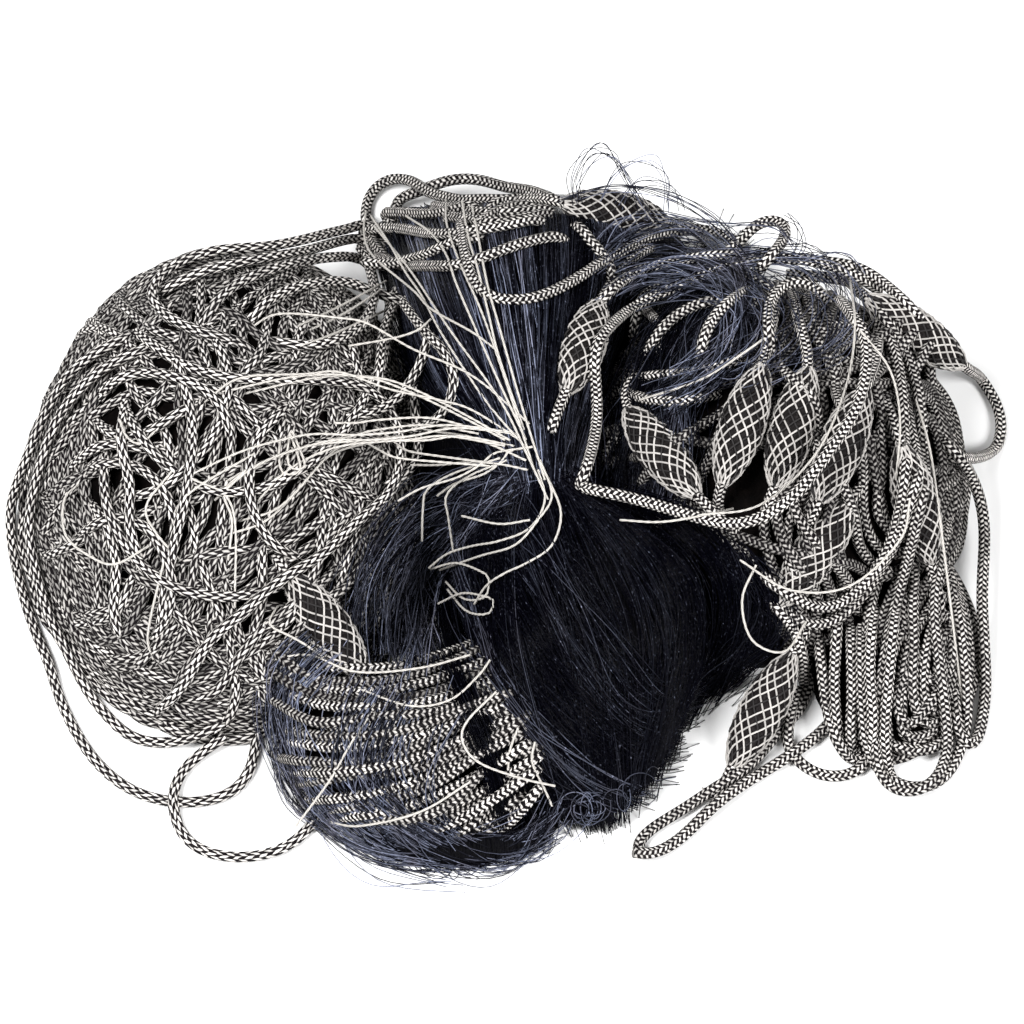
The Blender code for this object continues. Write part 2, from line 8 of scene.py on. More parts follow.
import bmesh
import bpy
import numpy as np
from bpy.props import FloatProperty, FloatVectorProperty, IntProperty, PointerProperty
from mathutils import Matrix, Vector


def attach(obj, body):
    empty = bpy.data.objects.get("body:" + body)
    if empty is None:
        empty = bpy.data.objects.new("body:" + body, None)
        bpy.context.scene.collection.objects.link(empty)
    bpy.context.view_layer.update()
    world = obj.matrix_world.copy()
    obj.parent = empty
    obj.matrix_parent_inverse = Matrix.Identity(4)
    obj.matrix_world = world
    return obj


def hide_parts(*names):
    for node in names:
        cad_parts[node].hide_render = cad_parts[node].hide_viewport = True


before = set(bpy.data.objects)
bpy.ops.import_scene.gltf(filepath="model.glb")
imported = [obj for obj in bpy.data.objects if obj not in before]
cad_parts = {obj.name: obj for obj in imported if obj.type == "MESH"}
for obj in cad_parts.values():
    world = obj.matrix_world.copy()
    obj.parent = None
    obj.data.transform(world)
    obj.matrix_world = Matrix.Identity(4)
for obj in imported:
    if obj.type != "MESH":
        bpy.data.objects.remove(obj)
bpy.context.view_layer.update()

bl_info = {
    "name": "Bundled Fishing Net",
    "version": (1, 0, 0),
    "blender": (4, 5, 0),
    "location": "View3D > Sidebar > Fishing Net",
    "description": "Braided lines, floats, netting and twine of a bundled fishing net",
    "category": "Add Mesh",
}

# The view that the routes below are read in, as in the part's source
VIEW_ELEVATION = math.radians(58.0)
VIEW_DISTANCE = 2.2
VIEW_CENTRE_HEIGHT = 0.045
PICTURE_MIDDLE = 512.0
PIXEL = 0.000455
SEARCH_TOP = 0.170
SEARCH_STEP = 0.0015
LEAN = 0.012
SENSOR_WIDTH = 36.0
EYE = np.array((0.0, -VIEW_DISTANCE * math.cos(VIEW_ELEVATION),
                VIEW_CENTRE_HEIGHT + VIEW_DISTANCE * math.sin(VIEW_ELEVATION)))

# The heaps that the lines are wound in, as in the part's source
Mound = namedtuple("Mound", "x y half_width half_depth height fullness")
LEAD_MOUND = Mound(-0.131, 0.036, 0.100, 0.134, 0.105, 0.58)
FLOAT_MOUND = Mound(0.120, 0.040, 0.098, 0.108, 0.104, 0.58)
FLOAT_TAIL_MOUND = Mound(0.170, -0.042, 0.048, 0.072, 0.042, 0.55)
WRAP_MOUND = Mound(-0.046, -0.103, 0.064, 0.053, 0.054, 0.55)
SKIRT_MOUND = Mound(-0.044, -0.117, 0.070, 0.048, 0.017, 0.55)
SKIRT_BED = Mound(-0.024, -0.122, 0.050, 0.037, 0.009, 0.55)
MOUNDS = (LEAD_MOUND, FLOAT_MOUND, FLOAT_TAIL_MOUND, WRAP_MOUND, SKIRT_MOUND)

# The hank of netting, from front to back
Section = namedtuple("Section", "y x half_width height")
HANK_SECTIONS = (
    Section(-0.140, 0.024, 0.026, 0.012),
    Section(-0.128, 0.025, 0.036, 0.028),
    Section(-0.108, 0.027, 0.044, 0.050),
    Section(-0.080, 0.031, 0.052, 0.069),
    Section(-0.040, 0.038, 0.060, 0.081),
    Section(-0.012, 0.016, 0.044, 0.084),
    Section(0.020, 0.000, 0.041, 0.089),
    Section(0.070, -0.003, 0.047, 0.097),
    Section(0.110, 0.001, 0.055, 0.093),
    Section(0.140, 0.009, 0.066, 0.079),
    Section(0.165, 0.014, 0.074, 0.056),
    Section(0.188, 0.011, 0.064, 0.030),
    Section(0.202, 0.008, 0.046, 0.010),
)
HANK_ROUNDNESS = 2.4

# Turns of line that show, by the columns and rows of the reference view.
# The first ones of the lead line and of the float line lie on the floor.
LEAD_FLOOR_TURNS = 1
FLOAT_FLOOR_TURNS = 3
LEAD_TURNS = (
    ((225, 735), (182, 770), (172, 805), (190, 845), (240, 858), (290, 846), (322, 812)),
    ((137, 333), (98, 352), (65, 379), (39, 428), (20, 477), (10, 509), (16, 558), (23, 591),
     (36, 633), (49, 662), (60, 700), (90, 755), (130, 790), (180, 803), (230, 795), (252, 768),
     (258, 728)),
    ((157, 343), (98, 372), (62, 411), (42, 460), (30, 509), (30, 542), (46, 607), (66, 646),
     (95, 700), (135, 740), (190, 738), (240, 712)),
    ((382, 224), (346, 229), (278, 245), (209, 251), (170, 268), (150, 290), (163, 313),
     (202, 333), (248, 346)),
    ((392, 285), (387, 330), (376, 380), (345, 430), (300, 470), (250, 492), (196, 486),
     (150, 450), (120, 400)),
    ((110, 430), (104, 490), (128, 550), (180, 590), (250, 596), (310, 570)),
    ((170, 346), (183, 379), (193, 428), (189, 477), (183, 509), (170, 560), (160, 640)),
    ((352, 236), (368, 262), (374, 300), (354, 332), (312, 346), (262, 340)),
    ((376, 262), (342, 256), (300, 262), (256, 274), (218, 298), (200, 330)),
    ((386, 300), (350, 282), (306, 284), (268, 300), (244, 330)),
    ((152, 296), (190, 276), (240, 262), (300, 252), (345, 240), (372, 236)),
    ((96, 400), (112, 380), (150, 372), (196, 384), (224, 410), (232, 450)),
    ((84, 470), (110, 462), (146, 470), (170, 500), (176, 540), (160, 580)),
    ((76, 540), (100, 520), (136, 520), (164, 548), (172, 600), (150, 650)),
    ((210, 330), (228, 370), (222, 420), (196, 460), (160, 490), (110, 500)),
    ((300, 400), (270, 420), (250, 460), (252, 510), (276, 550), (310, 560)),
    ((393, 276), (395, 303), (388, 320), (383, 337), (379, 372), (366, 404)),
    ((400, 292), (424, 328), (448, 356), (456, 388), (440, 420), (404, 432)),
    ((432, 316), (428, 350), (410, 384), (384, 408), (340, 420)),
    ((95, 420), (118, 440), (150, 432), (182, 410), (210, 400)),
    ((88, 500), (110, 530), (118, 570), (112, 610), (130, 650)),
    ((70, 470), (88, 450), (120, 442), (150, 452), (176, 440)),
    ((128, 400), (120, 440), (132, 490), (128, 530), (146, 570)),
    ((420, 380), (416, 410), (424, 440), (410, 470), (380, 490)),
    ((137, 333), (183, 365), (229, 379), (294, 379), (359, 385), (392, 411), (402, 444),
     (392, 490), (359, 519), (327, 552), (278, 581), (242, 614), (209, 640), (180, 690),
     (150, 716)),
)
FLOAT_TURNS = (
    ((815, 670), (795, 715), (765, 746), (740, 772), (700, 800), (655, 826), (632, 846),
     (640, 856)),
    ((634, 852), (648, 857), (682, 838), (712, 806), (745, 782), (790, 756), (830, 724),
     (850, 690)),
    ((800, 690), (785, 742), (808, 770), (838, 778), (868, 762), (880, 715)),
    ((720, 530), (760, 575), (800, 600), (830, 610), (870, 580), (900, 520), (905, 430),
     (895, 350), (870, 300)),
    ((735, 545), (775, 600), (810, 628), (850, 610), (885, 560), (915, 480), (905, 400)),
    ((862, 620), (862, 700), (872, 762), (905, 790), (940, 782), (964, 740), (966, 670),
     (955, 590)),
    ((940, 440), (966, 466), (984, 516), (982, 600), (985, 690), (975, 752), (960, 742),
     (952, 680)),
    ((870, 300), (905, 350), (922, 420), (917, 520), (897, 600), (882, 680), (876, 760),
     (892, 790), (926, 790), (948, 760), (942, 690), (934, 600), (947, 520)),
    ((372, 212), (415, 213), (432, 217), (451, 213), (470, 206), (490, 214)),
    ((395, 268), (377, 251), (369, 228), (365, 212), (369, 194), (381, 180), (398, 177),
     (415, 182), (429, 194), (446, 196), (465, 203), (482, 198), (503, 203), (520, 199),
     (544, 199), (566, 205)),
    ((376, 214), (381, 206), (400, 198), (419, 191), (430, 186), (445, 180), (465, 178),
     (486, 180), (501, 187), (530, 190), (550, 198), (566, 208)),
    ((468, 245), (481, 225), (486, 218), (503, 210), (524, 205), (544, 206), (562, 210)),
    ((372, 240), (382, 258), (403, 265), (432, 267), (451, 267), (475, 261), (496, 253),
     (520, 244), (541, 239), (562, 235), (586, 234)),
    ((458, 215), (465, 239), (467, 261), (475, 285), (489, 298), (510, 301), (536, 298),
     (562, 287), (587, 272), (610, 256), (640, 243), (690, 228), (735, 240), (762, 266)),
    ((574, 210), (582, 230), (593, 245), (605, 256), (613, 268), (615, 282), (605, 296)),
    ((436, 214), (470, 222), (505, 225), (540, 218), (568, 210)),
    ((425, 205), (460, 212), (500, 215), (540, 212), (570, 206)),
    ((338, 252), (372, 264), (408, 262), (440, 250), (470, 236), (500, 232)),
    ((342, 236), (366, 230), (398, 228), (436, 236), (470, 232), (520, 222), (560, 212)),
    ((838, 610), (834, 690), (838, 740), (850, 765)),
    ((850, 616), (853, 690), (850, 740), (858, 768)),
    ((818, 630), (826, 700), (842, 752), (862, 768)),
    ((876, 600), (868, 660), (874, 720), (868, 762)),
    ((896, 600), (888, 680), (884, 740), (890, 786)),
    ((742, 548), (756, 590), (776, 616), (790, 640)),
    ((750, 590), (772, 600), (800, 640), (804, 690)),
    ((636, 300), (668, 330), (700, 345), (742, 352)),
    ((634, 336), (640, 302), (662, 282), (700, 270), (740, 276)),
    ((668, 378), (660, 345), (672, 318), (700, 300)),
    ((724, 376), (728, 340), (742, 310), (770, 292)),
    ((690, 290), (720, 278), (752, 278), (778, 292)),
    ((628, 380), (650, 376), (705, 371), (740, 360), (757, 348)),
    ((624, 392), (650, 400), (678, 402), (718, 394)),
    ((646, 360), (656, 335), (680, 312), (712, 300), (740, 300)),
    ((700, 362), (704, 335), (722, 306), (748, 290)),
    ((770, 352), (768, 320), (772, 296), (790, 280), (812, 282), (826, 300)),
    ((735, 262), (748, 230), (775, 216), (790, 226), (778, 248), (758, 270)),
    ((598, 304), (610, 291), (630, 275), (660, 264), (720, 255), (770, 257), (830, 262),
     (870, 272), (930, 330)),
    ((580, 486), (590, 457), (597, 421), (596, 386), (593, 355), (604, 332), (635, 306),
     (694, 280), (745, 262), (790, 258), (840, 268), (880, 290)),
    ((585, 488), (640, 500), (690, 515), (740, 525), (790, 500), (830, 450), (860, 400),
     (866, 340), (840, 300)),
)
WRAP_TURNS = (
    ((266, 628), (290, 656), (340, 668), (400, 666), (455, 650), (480, 642)),
    ((265, 650), (300, 682), (355, 692), (410, 686), (470, 668), (500, 655)),
    ((267, 678), (310, 702), (372, 708), (440, 698), (490, 682), (512, 674)),
    ((270, 706), (330, 726), (390, 726), (450, 712), (500, 694), (520, 686)),
    ((278, 740), (340, 748), (400, 741), (455, 724), (510, 704), (528, 696)),
    ((290, 772), (345, 772), (410, 760), (466, 738), (520, 714), (536, 706)),
    ((306, 800), (360, 796), (420, 780), (476, 754), (528, 726), (544, 718)),
    ((332, 818), (390, 812), (440, 794), (490, 768), (536, 738), (550, 728)),
    ((372, 830), (420, 820), (460, 802), (505, 778), (545, 752), (556, 742)),
    ((410, 834), (444, 826), (482, 806), (522, 780), (552, 758)),
    ((446, 842), (474, 830), (508, 806), (540, 778)),
    ((474, 848), (500, 830), (528, 802), (548, 776)),
)

# Floats: the two tips, how high the middle stands over the heap, and the line on both sides
Float = namedtuple("Float", "tip_a tip_b lift before after")
FLOATS = (
    Float((560, 203), (668, 222), 0.006, ((470, 214), (515, 200)), ((705, 236), (742, 270))),
    Float((603, 292), (562, 402), 0.004, ((665, 238), (628, 262)), ((552, 425), (545, 450))),
    Float((622, 404), (702, 502), 0.006, ((720, 368), (640, 372)), ((722, 520), (745, 545))),
    Float((762, 366), (722, 484), 0.006, ((776, 285), (772, 325)), ((716, 505), (724, 530))),
    Float((808, 372), (776, 484), 0.001, ((792, 290), (800, 330)), ((768, 505), (760, 530))),
    Float((862, 396), (822, 494), 0.004, ((880, 330), (874, 365)), ((812, 515), (800, 540))),
    Float((872, 302), (958, 362), 0.004, ((820, 268), (850, 282)),
          ((982, 380), (1001, 415), (998, 446), (976, 458), (948, 456))),
    Float((902, 448), (930, 560), 0.004, ((880, 390), (892, 420)), ((938, 590), (940, 630))),
    Float((792, 655), (732, 768), 0.004, ((818, 605), (806, 630)), ((724, 790), (700, 808))),
)
HIDDEN_FLOATS = (
    Float((296, 584), (358, 668), -0.003, ((270, 550), (282, 566)), ((372, 690), (380, 706))),
    Float((846, 508), (786, 596), -0.002, ((868, 470), (858, 490)), ((780, 604), (790, 594))),
)
FLOAT_LENGTH = 0.0560
FLOAT_DIAMETER = 0.0210
FLOAT_FULLNESS = 0.62

# Loose turns that fill the heaps under the turns that show, and how lines are drawn in
TILT_LIMITS = (0.15, 1.45)
TAIL_TURNS = 9
ARCHING_TURNS = (0, 4)
FULL_CIRCLE = 6.28
CORE_SUNK = 0.0115
POINT_STEP = 0.004
TURN_SPACING = 0.0016
START_CLEARANCE = 0.006
DIVE_DEPTH = 0.016
BACK_OF_VIEW = 0.12
INSIDE_THE_BACK = (0.12, 0.02)
DIVE_POINTS = 5
FLOOR_GAP = 0.0002
SEEN_CLEARANCE = 0.075
SEEN_SPACING = 0.003
BETWEEN_WANDER = 4.5
LINE_SAG = 0.00030
LINE_SINK = 0.007
LINE_BRIDGING = 120
NEAR_REACH = 0.0095
NEAR_STEPS = 5
PULLS = (0.0024,) * 56 + (0.0010,) * 26 + (0.0004,) * 22 + (0.0,) * 10
STIFFNESS = 0.30
STRAIGHTENING = 0.04
STRETCH_PULL = 0.16
LONGEST_MOVE = 0.0026
LONGEST_PUSH = 0.003
CROWDING = 0.6
SIGHT_PULL = 0.45
TINY = 1e-9
FAR = 9.0
MESH_STEP = 0.0030
SEED = 11

# Map of heights that strands and twine are laid on; the operators hand it on in LAID
MAP_LOW = (-0.26, -0.21)
MAP_HIGH = (0.26, 0.24)
MAP_CELL = 0.001
LAID = {}

# Sleeves, strands, knots and twine
SLEEVE_TURNS = 0.72
SLEEVE_ROOM = 0.0012
SLEEVE_POINTS = 34
KNOT_COUNT = 300
KNOT_RADIUS = 0.00035
STRAND_RADIUS = 0.0006
RAISED_STRAND = 0.0008
LOCK_STRANDS = 14
LOCK_COUNT = 170
# Netting strands left of this x have their shade doubled, a painted highlight.
PAINTED_HIGHLIGHT_EDGE = 0.012
HANK_NOSE = 0.014
NOSE_ARCHES = 8
HANK_ARCHES = 60
BACK_POINTS = 12
EDGE_RINGS = 54
LOOPS_EACH = 4
LOOP_WANDER = 3.0
TAUT_PASSES = 500
TWINE_SAG = 0.00001
TWINE_STEP = 0.003
TWINE_WANDER = 13.0
DOUBLED_TWINES = slice(11, 24)

# Braid of the lines
SHADE_SHIFT = 37.0
SHADE_CHANCE = 97.0
BRAID_GRAIN = 330.0
BRAID_UNEVEN = 1.4

# Netting strands: guides that the strands are combed between, by where the view shows them
COLUMN_GUIDES = (
    ((376, 234), (394, 315), (424, 390), (478, 450), (506, 490)),
    ((398, 224), (420, 300), (456, 380), (496, 440), (513, 490)),
    ((430, 210), (452, 280), (482, 365), (508, 440), (522, 490)),
    ((478, 208), (494, 280), (510, 365), (522, 440), (532, 490)),
    ((528, 208), (534, 280), (536, 365), (538, 440), (542, 490)),
    ((576, 214), (572, 290), (560, 365), (552, 440), (552, 490)),
    ((608, 240), (602, 300), (582, 370), (566, 440), (562, 490)),
    ((640, 262), (628, 325), (606, 390), (584, 450), (572, 492)),
)
FALL_GUIDES = (
    ((500, 470), (462, 520), (438, 590), (452, 665), (480, 740), (500, 800), (506, 824)),
    ((510, 474), (478, 530), (462, 605), (482, 690), (520, 765), (544, 822)),
    ((522, 478), (500, 545), (500, 630), (522, 715), (556, 785), (574, 822)),
    ((535, 480), (536, 560), (548, 640), (566, 730), (586, 800), (596, 826)),
    ((548, 480), (572, 555), (600, 640), (612, 725), (614, 790), (616, 822)),
    ((560, 480), (612, 540), (652, 620), (658, 700), (646, 765), (640, 796)),
    ((572, 484), (648, 524), (700, 585), (702, 655), (680, 712), (668, 745)),
    ((584, 488), (685, 512), (738, 560), (742, 615), (722, 668), (705, 696)),
)
SWEEP_GUIDES = (
    ((446, 560), (462, 620), (492, 690), (536, 752), (590, 796), (628, 808)),
    ((470, 540), (492, 610), (530, 690), (580, 752), (630, 784), (655, 778)),
    ((500, 520), (530, 590), (572, 668), (620, 728), (662, 742), (680, 730)),
    ((530, 505), (572, 570), (622, 640), (668, 690), (700, 690), (716, 670)),
)
SIDE_GUIDES = (
    ((700, 540), (722, 580), (730, 620), (720, 660), (700, 700)),
    ((730, 550), (752, 590), (752, 630), (735, 665), (712, 690)),
    ((756, 570), (776, 605), (774, 640), (752, 665), (728, 680)),
)
SKIRT_GUIDES = (
    ((300, 640), (266, 680), (272, 740), (300, 800), (360, 850), (440, 868)),
    ((330, 660), (290, 705), (300, 765), (340, 820), (400, 856), (480, 862)),
    ((380, 690), (350, 750), (360, 800), (420, 846), (490, 858), (540, 834)),
    ((440, 700), (420, 770), (440, 820), (490, 850), (540, 848), (560, 806)),
    ((500, 720), (470, 780), (466, 830), (500, 862), (536, 850), (548, 800)),
)
PATCH_GUIDES = (
    ((520, 470), (470, 480), (420, 500), (378, 540), (350, 590), (345, 640)),
    ((515, 480), (470, 505), (430, 535), (400, 580), (388, 620), (385, 650)),
    ((505, 490), (475, 530), (450, 570), (436, 610), (432, 640), (436, 660)),
)
VEIL_GUIDES = (
    ((600, 250), (625, 225), (690, 222), (740, 262), (760, 320), (720, 370)),
    ((640, 300), (670, 290), (720, 300), (750, 330), (720, 370), (650, 400)),
    ((690, 262), (760, 250), (830, 262), (860, 300), (840, 350), (800, 360)),
)
COVER_GUIDES = (
    ((700, 250), (660, 290), (630, 340), (612, 400), (604, 450), (600, 488)),
    ((730, 256), (690, 300), (660, 350), (646, 400), (640, 450), (636, 492)),
    ((750, 262), (730, 310), (704, 350), (690, 400), (684, 450), (676, 500)),
)

# How strands are combed between guides: how many, points in each, stray in pixels, and lift
Comb = namedtuple("Comb", "guides count points stray lift")
SIDE_COMB = Comb(SIDE_GUIDES, 160, 20, 9.0, 0.0022)
SWEEP_COMB = Comb(SWEEP_GUIDES, 340, 26, 12.0, 0.004)
PATCH_COMB = Comb(PATCH_GUIDES, 300, 22, 14.0, 0.003)
COVER_COMB = Comb(COVER_GUIDES, 260, 22, 16.0, 0.002)
VEIL_COMB = Comb(VEIL_GUIDES, 170, 22, 14.0, 0.002)
SKIRT_COMB = Comb(SKIRT_GUIDES, 200, 26, 14.0, 0.002)

# Twine, by where the view shows it
TWINES = (
    ((366, 211), (364, 233), (373, 256), (414, 291), (431, 309), (472, 332), (495, 349)),
    ((371, 216), (389, 243), (406, 273), (422, 296), (439, 329), (464, 369), (492, 409),
     (528, 450)),
    ((406, 216), (431, 233), (447, 256), (456, 283), (477, 332), (499, 382), (526, 440)),
    ((446, 200), (447, 225), (460, 263), (484, 318), (512, 400), (534, 470)),
    ((462, 201), (469, 240), (477, 266), (489, 316), (499, 357), (524, 430)),
    ((472, 206), (477, 230), (487, 283), (499, 326), (520, 400), (545, 480)),
    ((374, 226), (410, 270), (450, 330), (500, 400), (525, 450), (548, 500)),
    ((386, 281), (340, 306), (298, 326)),
    ((384, 288), (343, 314), (310, 330)),
    ((384, 311), (333, 334), (300, 346)),
    ((431, 319), (416, 331), (389, 339), (348, 346)),
    ((205, 402), (240, 378), (306, 374), (340, 372), (389, 389), (439, 400), (472, 410),
     (520, 440)),
    ((222, 392), (300, 376), (364, 377), (410, 392), (460, 416), (505, 440)),
    ((190, 475), (240, 452), (281, 440), (315, 434), (356, 435), (398, 432), (447, 425),
     (510, 432)),
    ((215, 500), (250, 470), (300, 448), (356, 441), (406, 440), (447, 436), (505, 446)),
    ((240, 521), (273, 511), (295, 493), (315, 470), (333, 451), (356, 442), (400, 436)),
    ((280, 441), (279, 458), (283, 473), (298, 473), (300, 463), (290, 433)),
    ((334, 423), (356, 423), (378, 420), (430, 418), (480, 430)),
    ((359, 438), (381, 451), (398, 458), (440, 462), (490, 466)),
    ((411, 465), (439, 465), (472, 462), (499, 464), (528, 470)),
    ((398, 501), (422, 488), (456, 478), (480, 465), (495, 453), (524, 448)),
    ((422, 541), (423, 508), (427, 490), (452, 474), (500, 458)),
    ((429, 568), (447, 554), (472, 546), (499, 541), (530, 528), (545, 500), (538, 470)),
    ((431, 569), (456, 563), (480, 571), (489, 579), (485, 597), (464, 599), (446, 582)),
    ((440, 570), (480, 556), (515, 545), (538, 520), (552, 495), (540, 460)),
    ((462, 516), (499, 524), (530, 520)),
    ((278, 606), (270, 619), (272, 627), (290, 636), (306, 645), (326, 659)),
    ((78, 485), (64, 500), (66, 536), (93, 558), (116, 564), (149, 546)),
    ((172, 471), (146, 506), (156, 533), (180, 560)),
    ((191, 478), (232, 506), (235, 607)),
    ((259, 451), (192, 491), (170, 520)),
    ((166, 553), (148, 632), (153, 659)),
    ((120, 420), (126, 436), (140, 444), (156, 430)),
    ((228, 560), (232, 520), (224, 492), (246, 470)),
    ((272, 660), (310, 655), (356, 672), (420, 668), (470, 655)),
    ((362, 690), (410, 706), (450, 700), (478, 676), (490, 660)),
    ((496, 692), (468, 720), (462, 740), (478, 762), (520, 778), (555, 786)),
    ((535, 742), (532, 762), (545, 790), (552, 806)),
    ((518, 728), (510, 750), (508, 770)),
    ((296, 826), (330, 780), (350, 745), (372, 712)),
    ((330, 822), (360, 826), (420, 812), (470, 782)),
    ((700, 515), (760, 505), (815, 455), (845, 390), (855, 330), (850, 280)),
    ((620, 520), (660, 522), (700, 516), (735, 508)),
    ((640, 400), (700, 380), (745, 352), (775, 330)),
    ((756, 565), (742, 600), (752, 640), (784, 652), (806, 622)),
    ((740, 560), (790, 590), (850, 586), (900, 540), (910, 500)),
    ((916, 400), (930, 450), (940, 520), (950, 600), (962, 700)),
    ((860, 330), (890, 370), (900, 420), (896, 480)),
)

# Fine strands that stand up in loops over the top edge
TOP_LOOPS = (
    ((574, 206), (570, 176), (588, 150), (606, 148), (624, 172), (640, 206)),
    ((580, 206), (578, 180), (596, 154), (614, 158), (632, 186), (652, 214)),
    ((600, 200), (618, 170), (648, 160), (662, 178), (666, 206)),
    ((618, 206), (640, 180), (668, 188), (682, 208)),
    ((560, 200), (600, 186), (660, 190), (712, 216), (742, 250)),
    ((575, 196), (620, 186), (680, 200), (722, 232), (748, 262)),
    ((660, 214), (720, 224), (772, 226), (796, 246)),
    ((786, 216), (800, 226), (800, 248), (790, 262)),
    ((800, 262), (830, 250), (852, 256), (862, 272)),
)


def length_property(name, description, default, low):
    """A size in metres."""
    return FloatProperty(name=name, description=description, default=default, min=low,
                         unit="LENGTH")


def count_property(name, description, default, low):
    """A whole number."""
    return IntProperty(name=name, description=description, default=default, min=low)


def power_property(name, description, default):
    """The power of a light."""
    return FloatProperty(name=name, description=description, default=default, min=0.0,
                         unit="POWER")


def colour_property(name, description, default):
    """A colour."""
    return FloatVectorProperty(name=name, description=description, default=default,
                               subtype="COLOR", min=0.0, max=1.0)


class NetLineProperties(bpy.types.PropertyGroup):
    """Sizes and colours of the braided lines."""
    lead_diameter: length_property("Lead line", "Diameter of the lead line", 0.0050, 0.001)
    float_diameter: length_property("Float line", "Diameter of the float line", 0.0054, 0.001)
    lead_turns: count_property("Lead line turns", "Loose turns in the left heap", 50, 1)
    float_turns: count_property("Float line turns", "Loose turns in the right heap", 26, 1)
    sides: count_property("Sides", "Faces round a line", 8, 3)
    light: colour_property("Light yarn", "Colour of the light yarn", (0.88, 0.84, 0.80))
    dark: colour_property("Dark yarn", "Colour of the dark yarn", (0.004, 0.003, 0.004))


class NetFloatProperties(bpy.types.PropertyGroup):
    """Sizes and colours of the floats and their sleeves."""
    strands: count_property("Sleeve strands", "Strands each way round a float", 13, 3)
    strand_diameter: length_property("Strand", "Diameter of a sleeve strand", 0.0009, 0.0002)
    body: colour_property("Float", "Colour of the float under its sleeve", (0.006, 0.005, 0.005))


class NetStrandProperties(bpy.types.PropertyGroup):
    """Sizes and colours of the netting."""
    column: count_property("Column strands", "Strands that run over the back", 900, 10)
    fall: count_property("Fall strands", "Strands that fall to the front", 900, 10)
    diameter: length_property("Strand", "Diameter of a netting strand", 0.00046, 0.0001)
    colour: colour_property("Netting", "Colour of the netting", (0.0007, 0.0007, 0.0022))
    # The palest strand colour; the painted glints and the painted highlight on the left of the
    # fall also blend towards it.
    sheen: colour_property("Pale netting", "Colour of the palest strands", (0.26, 0.30, 0.43))


class NetTwineProperties(bpy.types.PropertyGroup):
    """Size and colour of the hanging twine."""
    diameter: length_property("Twine", "Diameter of the twine", 0.0011, 0.0002)
    colour: colour_property("Twine colour", "Colour of the twine", (0.62, 0.59, 0.55))


class NetStageProperties(bpy.types.PropertyGroup):
    """Floor, lights and camera."""
    floor: colour_property("Floor", "Colour of the floor", (0.93, 0.93, 0.93))
    key_power: power_property("Main light", "Power of the large main light", 58.0)
    fill_power: power_property("Second light", "Power of the second light", 37.0)


# Form of the heap


def mound_rise(mound, x, y, sunk):
    """Height of a mound over each place, with its skin drawn in by sunk."""
    across = (x - mound.x) / (mound.half_width - sunk)
    along = (y - mound.y) / (mound.half_depth - sunk)
    inside = np.clip(1.0 - across ** 2 - along ** 2, 0.0, None)
    return (mound.height - sunk) * inside ** mound.fullness


def hank_row(y):
    """The middle, half width and height of the hank of netting at these depths."""
    depths = [row.y for row in HANK_SECTIONS]
    return (np.interp(y, depths, [row.x for row in HANK_SECTIONS]),
            np.interp(y, depths, [row.half_width for row in HANK_SECTIONS]),
            np.interp(y, depths, [row.height for row in HANK_SECTIONS]))


def hank_rise(x, y):
    """Height of the hank of netting over each place."""
    middle, half, top = hank_row(y)
    across = np.clip(np.abs(x - middle) / half, 0.0, 1.0)
    rise = top * (1.0 - across ** HANK_ROUNDNESS) ** (1.0 / HANK_ROUNDNESS)
    return np.where((y > HANK_SECTIONS[0].y) & (y < HANK_SECTIONS[-1].y), rise, 0.0)


def heap_rise(x, y):
    """Height of the whole heap over each place."""
    rise = hank_rise(x, y)
    for mound in MOUNDS:
        rise = np.maximum(rise, mound_rise(mound, x, y, 0.0))
    return rise


def slopes(surface, x, y):
    """How fast a surface rises in x and in y."""
    step = 0.002
    rise_x = (surface(x + step, y) - surface(x - step, y)) / (2.0 * step)
    rise_y = (surface(x, y + step) - surface(x, y - step)) / (2.0 * step)
    return rise_x, rise_y


def slant(surface, x, y):
    """Length of the surface over each metre of floor, with a limit where it is very steep."""
    rise_x, rise_y = slopes(surface, x, y)
    return np.minimum(np.sqrt(1.0 + rise_x ** 2 + rise_y ** 2), 3.0)


# The reference view


def sight_points(places, height):
    """The places at this height that the view shows at these columns and rows."""
    across = (places[..., 0] - PICTURE_MIDDLE) * PIXEL
    up = (PICTURE_MIDDLE - places[..., 1]) * PIXEL
    rise = height - VIEW_CENTRE_HEIGHT
    sine = math.sin(VIEW_ELEVATION)
    cosine = math.cos(VIEW_ELEVATION)
    y = up * VIEW_DISTANCE - rise * (VIEW_DISTANCE * cosine + up * sine)
    y = y / (VIEW_DISTANCE * sine - up * cosine)
    x = across * (VIEW_DISTANCE + y * cosine - rise * sine) / VIEW_DISTANCE
    return np.stack(np.broadcast_arrays(x, y, height), axis=-1)


def sight_rays(places):
    """Unit directions from the eye through these places of the view."""
    rays = sight_points(places, 0.0) - EYE
    return rays / np.linalg.norm(rays, axis=1, keepdims=True)


def laid_points(places, surface, radius, lift):
    """Where these places of the view lie on a surface, or on the floor beside it."""
    heights = np.arange(SEARCH_TOP, radius, -SEARCH_STEP)
    tried = sight_points(places[:, None, :], heights[None, :])
    under = surface(tried[..., 0], tried[..., 1])
    gap = tried[..., 2] - under - lift * slant(surface, tried[..., 0], tried[..., 1])
    gap = np.where(under > 0.0, gap, 1.0)
    hit = gap <= 0.0
    found = np.where(hit.any(axis=1), hit.argmax(axis=1), gap.argmin(axis=1))
    best = gap[np.arange(len(places)), found]
    laid = tried[np.arange(len(places)), found]
    return np.where((best < LEAN)[:, None], laid, sight_points(places, radius))


